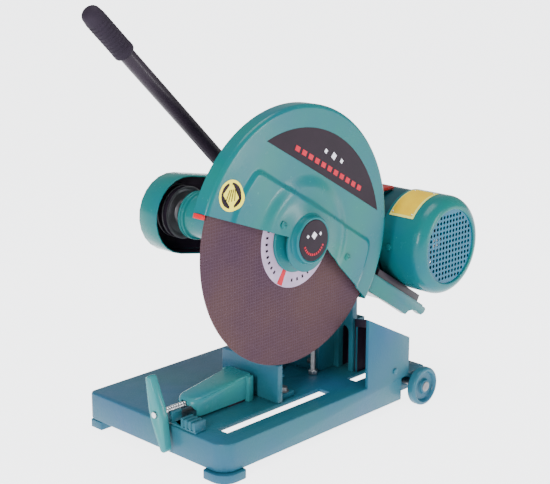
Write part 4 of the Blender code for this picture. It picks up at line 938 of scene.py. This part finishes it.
def make_base():
    """Castings and sheets with soft edges: base, bracket, rocker, feet, guard back; bolts."""
    softened("base_frame", "base", "base_enamel", 0.0016)
    softened("pivot_bracket", "base", "base_enamel", 0.0014)
    softened("rocker_arm", "head", "teal_enamel", 0.0014)
    softened("guard_back_sheet", "head", "teal_enamel", 0.0005, 2)
    softened("guard_end_pad", "head", "red_rubber", 0.0006, 2)
    softened("front_foot_near", "base", "base_enamel", 0.0014)
    softened("front_foot_far", "base", "base_enamel", 0.0014)
    for node in ("pivot_shaft", "pivot_nut", "bracket_bolt_near", "bracket_bolt_far",
                 "jaw_pivot_bolt"):
        softened(node, "base", "dark_steel", 0.0006, 2)
    for node in ("motor_bolt_near", "motor_bolt_far", "tension_bolt"):
        softened(node, "head", "dark_steel", 0.0006, 2)
    bolt = [(-0.001, 0.0), (-0.001, 0.0052), (0.0026, 0.0050), (0.0036, 0.0036),
            (0.0038, 0.0)]
    piece("side_bolt", lathe(bolt, (0.394, 0.071), segments=28), "base_enamel", "base")


CHUTE_TOP, CHUTE_SLOPE = 0.176, -0.514  # height of the roof at its front, rise over run
CHUTE_FRONT, CHUTE_MOUTH = 0.324, 0.369  # y of the near and the far wall's front edge
CHUTE_FLOOR = 0.0600
ROOF_SHEET = 0.0068
SHADE_SHEET = 0.0005  # thickness of the dark sheets of painted shade


def under_roof(y):
    """Height of the underside of the spark chute's sloping roof."""
    return CHUTE_TOP + CHUTE_SLOPE * (y - CHUTE_FRONT) - ROOF_SHEET


def make_chute_shade():
    """Painted shade inside the spark chute: thin dark sheets on its roof, walls and back."""
    far_x, near_x, rear = -0.0608, -0.0062, 0.4253
    bm = bmesh.new()
    for y, span in ((CHUTE_MOUTH - 0.040, (near_x - SHADE_SHEET, near_x)),
                    (CHUTE_MOUTH, (far_x, far_x + SHADE_SHEET))):
        extruded([(y, CHUTE_FLOOR), (y, under_roof(y)), (rear, under_roof(rear)),
                  (rear, CHUTE_FLOOR)], span, bm=bm)
    extruded(rectangle((rear - SHADE_SHEET, CHUTE_FLOOR), (rear, under_roof(rear))),
             (far_x + 0.001, near_x - 0.001), bm=bm)
    corners = [(near_x - 0.001, CHUTE_MOUTH - 0.036), (near_x - 0.001, rear - 0.001),
               (far_x + 0.001, rear - 0.001), (far_x + 0.001, CHUTE_MOUTH + 0.002)]
    capped(bm, [(x, y, under_roof(y) - SHADE_SHEET) for x, y in corners],
           [(x, y, under_roof(y)) for x, y in corners])
    add_mouth_shade(bm)
    piece("chute_painted_shade", bm, "inside_paint", "base")


def add_mouth_shade(bm):
    """Painted shade on the slanted front edges of the chute's far wall and roof."""
    far, near = Vector((-0.0663, CHUTE_MOUTH)), Vector((-0.0057, CHUTE_FRONT))
    wall = 0.0052 / (near - far).length
    outward = Vector((near.y - far.y, far.x - near.x)).normalized() * 0.0006
    for start, stop in ((0.0, wall), (wall, 1.0)):
        spots = [far + (near - far) * part for part in (start, stop)]
        tops = [under_roof(spot.y) + ROOF_SHEET - 0.0006 for spot in spots]
        bottoms = [CHUTE_FLOOR if start == 0.0 else under_roof(spot.y) - ROOF_SHEET - 0.0004
                   for spot in spots]
        corners = list(zip((spots[0], spots[0], spots[1], spots[1]),
                           (bottoms[0], tops[0], tops[1], bottoms[1])))
        capped(bm, *[[(spot.x + shift.x, spot.y + shift.y, z) for spot, z in corners]
                     for shift in (outward * 0.2, outward)])


def make_arch_shade():
    """Painted shade in the blind arch beside the chute: dark sheets on its back and its two sides.
    """
    low, high = 0.0605, 0.1445
    bm = extruded(rectangle((-0.1010, low), (-0.0740, high)), (0.3905, 0.3912), axis="y")
    for x in (-0.1014, -0.0736):
        extruded(rectangle((x - 0.0002, low), (x + 0.0002, high)), (0.3775, 0.3905), axis="y",
                 bm=bm)
    piece("arch_painted_shade", bm, "inside_paint", "base")


def make_rear_wheels():
    """Dished wheels with a rounded tread, a hub boss and riveted axle ends."""
    for node, body, way in (("rear_wheel_near", "near_wheel", 1),
                            ("rear_wheel_far", "far_wheel", -1)):
        low, high = layout_box(node)
        inner, width = (low.x if way == 1 else high.x), high.x - low.x
        tread = (high.z - low.z) / 2
        raw = [(0.0, 0.0064), (0.0, tread - 0.002), (0.0015, tread - 0.0003),
               (0.0035, tread), (width - 0.0040, tread), (width - 0.0012, tread - 0.0009),
               (width, tread - 0.0035), (width, 0.0272), (width - 0.0020, 0.0250),
               (width - 0.0062, 0.0232), (width - 0.0064, 0.0140), (width - 0.0040, 0.0118),
               (width - 0.0005, 0.0108), (width - 0.0005, 0.0064)]
        loop = rounded_corners([(inner + way * a, r) for a, r in raw], 0.0016, 4, True)
        piece(f"{node}_cast", lathe(loop, WHEEL, segments=72, closed=True), "base_enamel",
              body, [node])
    low, high = layout_box("wheel_axle")
    head, head_radius = 0.0015, 0.0085
    ends = []
    for tip, way in ((low.x, 1), (high.x, -1)):
        dome = [(tip + way * head * (1 - cos(radians(a))),
                 head_radius * sin(radians(a))) for a in range(0, 91, 15)]
        ends.append(dome + [(tip + way * head, 0.0060)])
    profile = ends[0] + ends[1][::-1]
    piece("wheel_axle_riveted", lathe(profile, WHEEL, segments=40), "dark_steel", "base",
          ["wheel_axle"])


def make_depth_stop():
    """Threaded depth stop with a lock nut."""
    low, high = layout_box("depth_stop_bolt")
    centre = ((low.x + high.x) / 2, (low.y + high.y) / 2)
    head_start, head_radius = high.z - 0.008, 0.0085
    bm = threaded_rod(0.0045, 0.0007, 0.00175, low.z, head_start + 0.001, centre, "z")
    head = rounded_corners([(head_start, 0.0), (head_start, head_radius),
                            (high.z - 0.0008, head_radius), (high.z, 0.0066), (high.z, 0.0)],
                           0.0010, 3)
    lathe(head, centre, axis="z", segments=36, bm=bm)
    piece("depth_stop_threaded", bm, "steel", "base", ["depth_stop_bolt"])
    foot = layout_box("vise_nut_block")[0].z  # both stand on the deck
    hexagon = arc(centre, 0.0085, 0, 300, 5)
    nut = piece("depth_stop_nut", extruded(hexagon, (foot, foot + 0.007), axis="z"), "steel",
                "base")
    bevel(nut, 0.0008, 2)


def threaded_rod(radius, depth, pitch, start, stop, centre, axis):
    """A rod whose surface carries a real helical thread."""
    bm = bmesh.new()
    sides, per_turn = 20, 6
    count = int((stop - start) / pitch * per_turn)
    rings = [ring(bm, start, 0.0, centre, axis, 1)]
    for k in range(count + 1):
        along = start + (stop - start) * k / count
        loop = []
        for i in range(sides):
            angle = 2 * pi * i / sides
            phase = (along / pitch - i / sides) % 1.0
            r = radius - depth * abs(2 * phase - 1)
            spot = axis_point(along, r * cos(angle), r * sin(angle), centre, axis)
            loop.append(bm.verts.new(spot))
        rings.append(loop)
    rings.append(ring(bm, stop, 0.0, centre, axis, 1))
    for first, second in zip(rings, rings[1:]):
        bridge(bm, first, second)
    return bm


# ---- vise

SLIDE_UNDERSIDE = 0.0633
STRIP_START, STRIP_STOP = 0.1115, 0.1480  # clear of the nut block when the jaw is drawn back
STRIP_WIDTH = 0.0045


def make_vise():
    """Jaws and nut block with soft edges, dark strips under the slide as painted shade, a threaded
    screw and lever.
    """
    softened("fixed_jaw", "fixed_jaw", "base_enamel", 0.0016)
    softened("jaw_slot_bolt", "fixed_jaw", "dark_steel", 0.0006, 2)
    softened("moving_jaw", "moving_jaw", "vise_enamel", 0.0010, 2)
    softened("vise_nut_block", "base", "base_enamel", 0.0010, 2)
    softened("vise_lever", "vise_screw", "vise_enamel", 0.0012, 2)
    slide_bottom = layout_box("moving_jaw")[0].z + 0.0002
    # Dark strips in the gap under the slide: painted shade, the dark line along its bottom edge.
    for side, x in (("far", -0.1500), ("near", -0.1095)):
        outline = rounded_corners(rectangle((x, STRIP_START), (x + STRIP_WIDTH, STRIP_STOP)),
                                  0.002, 3, True)
        piece(f"slide_shade_strip_{side}", extruded(outline, (slide_bottom, SLIDE_UNDERSIDE), axis="z"),
              "inside_paint", "moving_jaw")
    low, high = layout_box("vise_screw")
    centre = ((low.x + high.x) / 2, (low.z + high.z) / 2)
    collar = -0.0062
    bm = threaded_rod(0.0055, 0.0009, 0.005, collar + 0.0035, high.y - 0.0015, centre, "y")
    end = rounded_corners([(low.y, 0.0), (low.y, 0.0049), (collar, 0.0049), (collar, 0.0084),
                           (collar + 0.0035, 0.0084), (collar + 0.0035, 0.0)], 0.0008, 3)
    lathe(end, centre, axis="y", segments=40, bm=bm)
    piece("vise_screw_threaded", bm, "steel", "vise_screw", ["vise_screw"])


# ---- materials of kept nodes

def paint_kept_nodes():
    """Give each CAD node that still shows the material of its slot."""
    for entry in frame["record"]["subparts"]:
        mesh = frame["nodes"][entry["node"]].data
        mesh.materials.clear()
        mesh.materials.append(LOOKS[entry["material_slot"]])


# ---- studio

FLOOR_SIZE = 120.0
FLOOR_GLOW = 3.8
WORLD_GLOW = 0.6
COOL_WHITE = (0.97, 0.98, 1.0, 1)


def make_camera():
    """Camera in front of the machine, to its right and above it."""
    camera_data = bpy.data.cameras.new("camera")
    camera_data.lens = CAMERA_LENS
    camera_data.sensor_width = 36.0
    camera_data.shift_x, camera_data.shift_y = CAMERA_SHIFT
    camera = link_new("camera", camera_data)
    camera.location = CAMERA_TARGET + CAMERA_TOWARDS * CAMERA_DISTANCE
    camera.rotation_euler = CAMERA_TOWARDS.to_track_quat("Z", "Y").to_euler()
    bpy.context.scene.camera = camera


def make_light(name, towards, distance, size, power):
    """A soft box that faces the machine from the given direction."""
    data = bpy.data.lights.new(name, "AREA")
    data.shape = "RECTANGLE"
    data.size, data.size_y = size
    data.energy = power
    light = link_new(name, data)
    light.visible_camera = False
    direction = Vector(towards).normalized()
    light.location = CAMERA_TARGET + direction * distance
    light.rotation_euler = direction.to_track_quat("Z", "Y").to_euler()


def make_studio():
    """White floor that glows a little, a pale world and three soft boxes."""
    mesh = bpy.data.meshes.new("floor")
    half = FLOOR_SIZE / 2
    corners = [(*corner, 0) for corner in rectangle((-half, -half), (half, half))]
    mesh.from_pydata(corners, [], [(0, 1, 2, 3)])
    floor = link_new("floor", mesh)
    paint = bpy.data.materials.new("floor_white")
    paint.use_nodes = True
    set_inputs(paint.node_tree.nodes["Principled BSDF"],
               {"Base Color": (0.30, 0.30, 0.31, 1), "Roughness": 0.9,
                "Emission Color": COOL_WHITE, "Emission Strength": FLOOR_GLOW})
    mesh.materials.append(paint)
    world = bpy.data.worlds.new("studio")
    world.use_nodes = True
    set_inputs(world.node_tree.nodes["Background"],
               {"Color": COOL_WHITE, "Strength": WORLD_GLOW})
    bpy.context.scene.world = world
    make_light("side_box", (1.95, 1.46, 0.09), 2.44, (0.18, 0.80), 20)
    make_light("front_box", (0.35, -0.90, 0.30), 2.6, (0.5, 1.0), 70)
    make_light("top_box", (0.0, 0.1, 1.0), 2.6, (1.6, 1.6), 75)


LOOKS = make_materials()
make_camera()
paint_kept_nodes()
make_guard()
make_hub()
make_decals()
make_guard_screws()
make_cutting_wheel()
make_flanges()
make_cowl()
make_name_plate()
make_motor_body()
make_belt_drive()
make_spindle_housing()
make_handle()
make_base()
make_chute_shade()
make_arch_shade()
make_rear_wheels()
make_depth_stop()
make_vise()
make_studio()
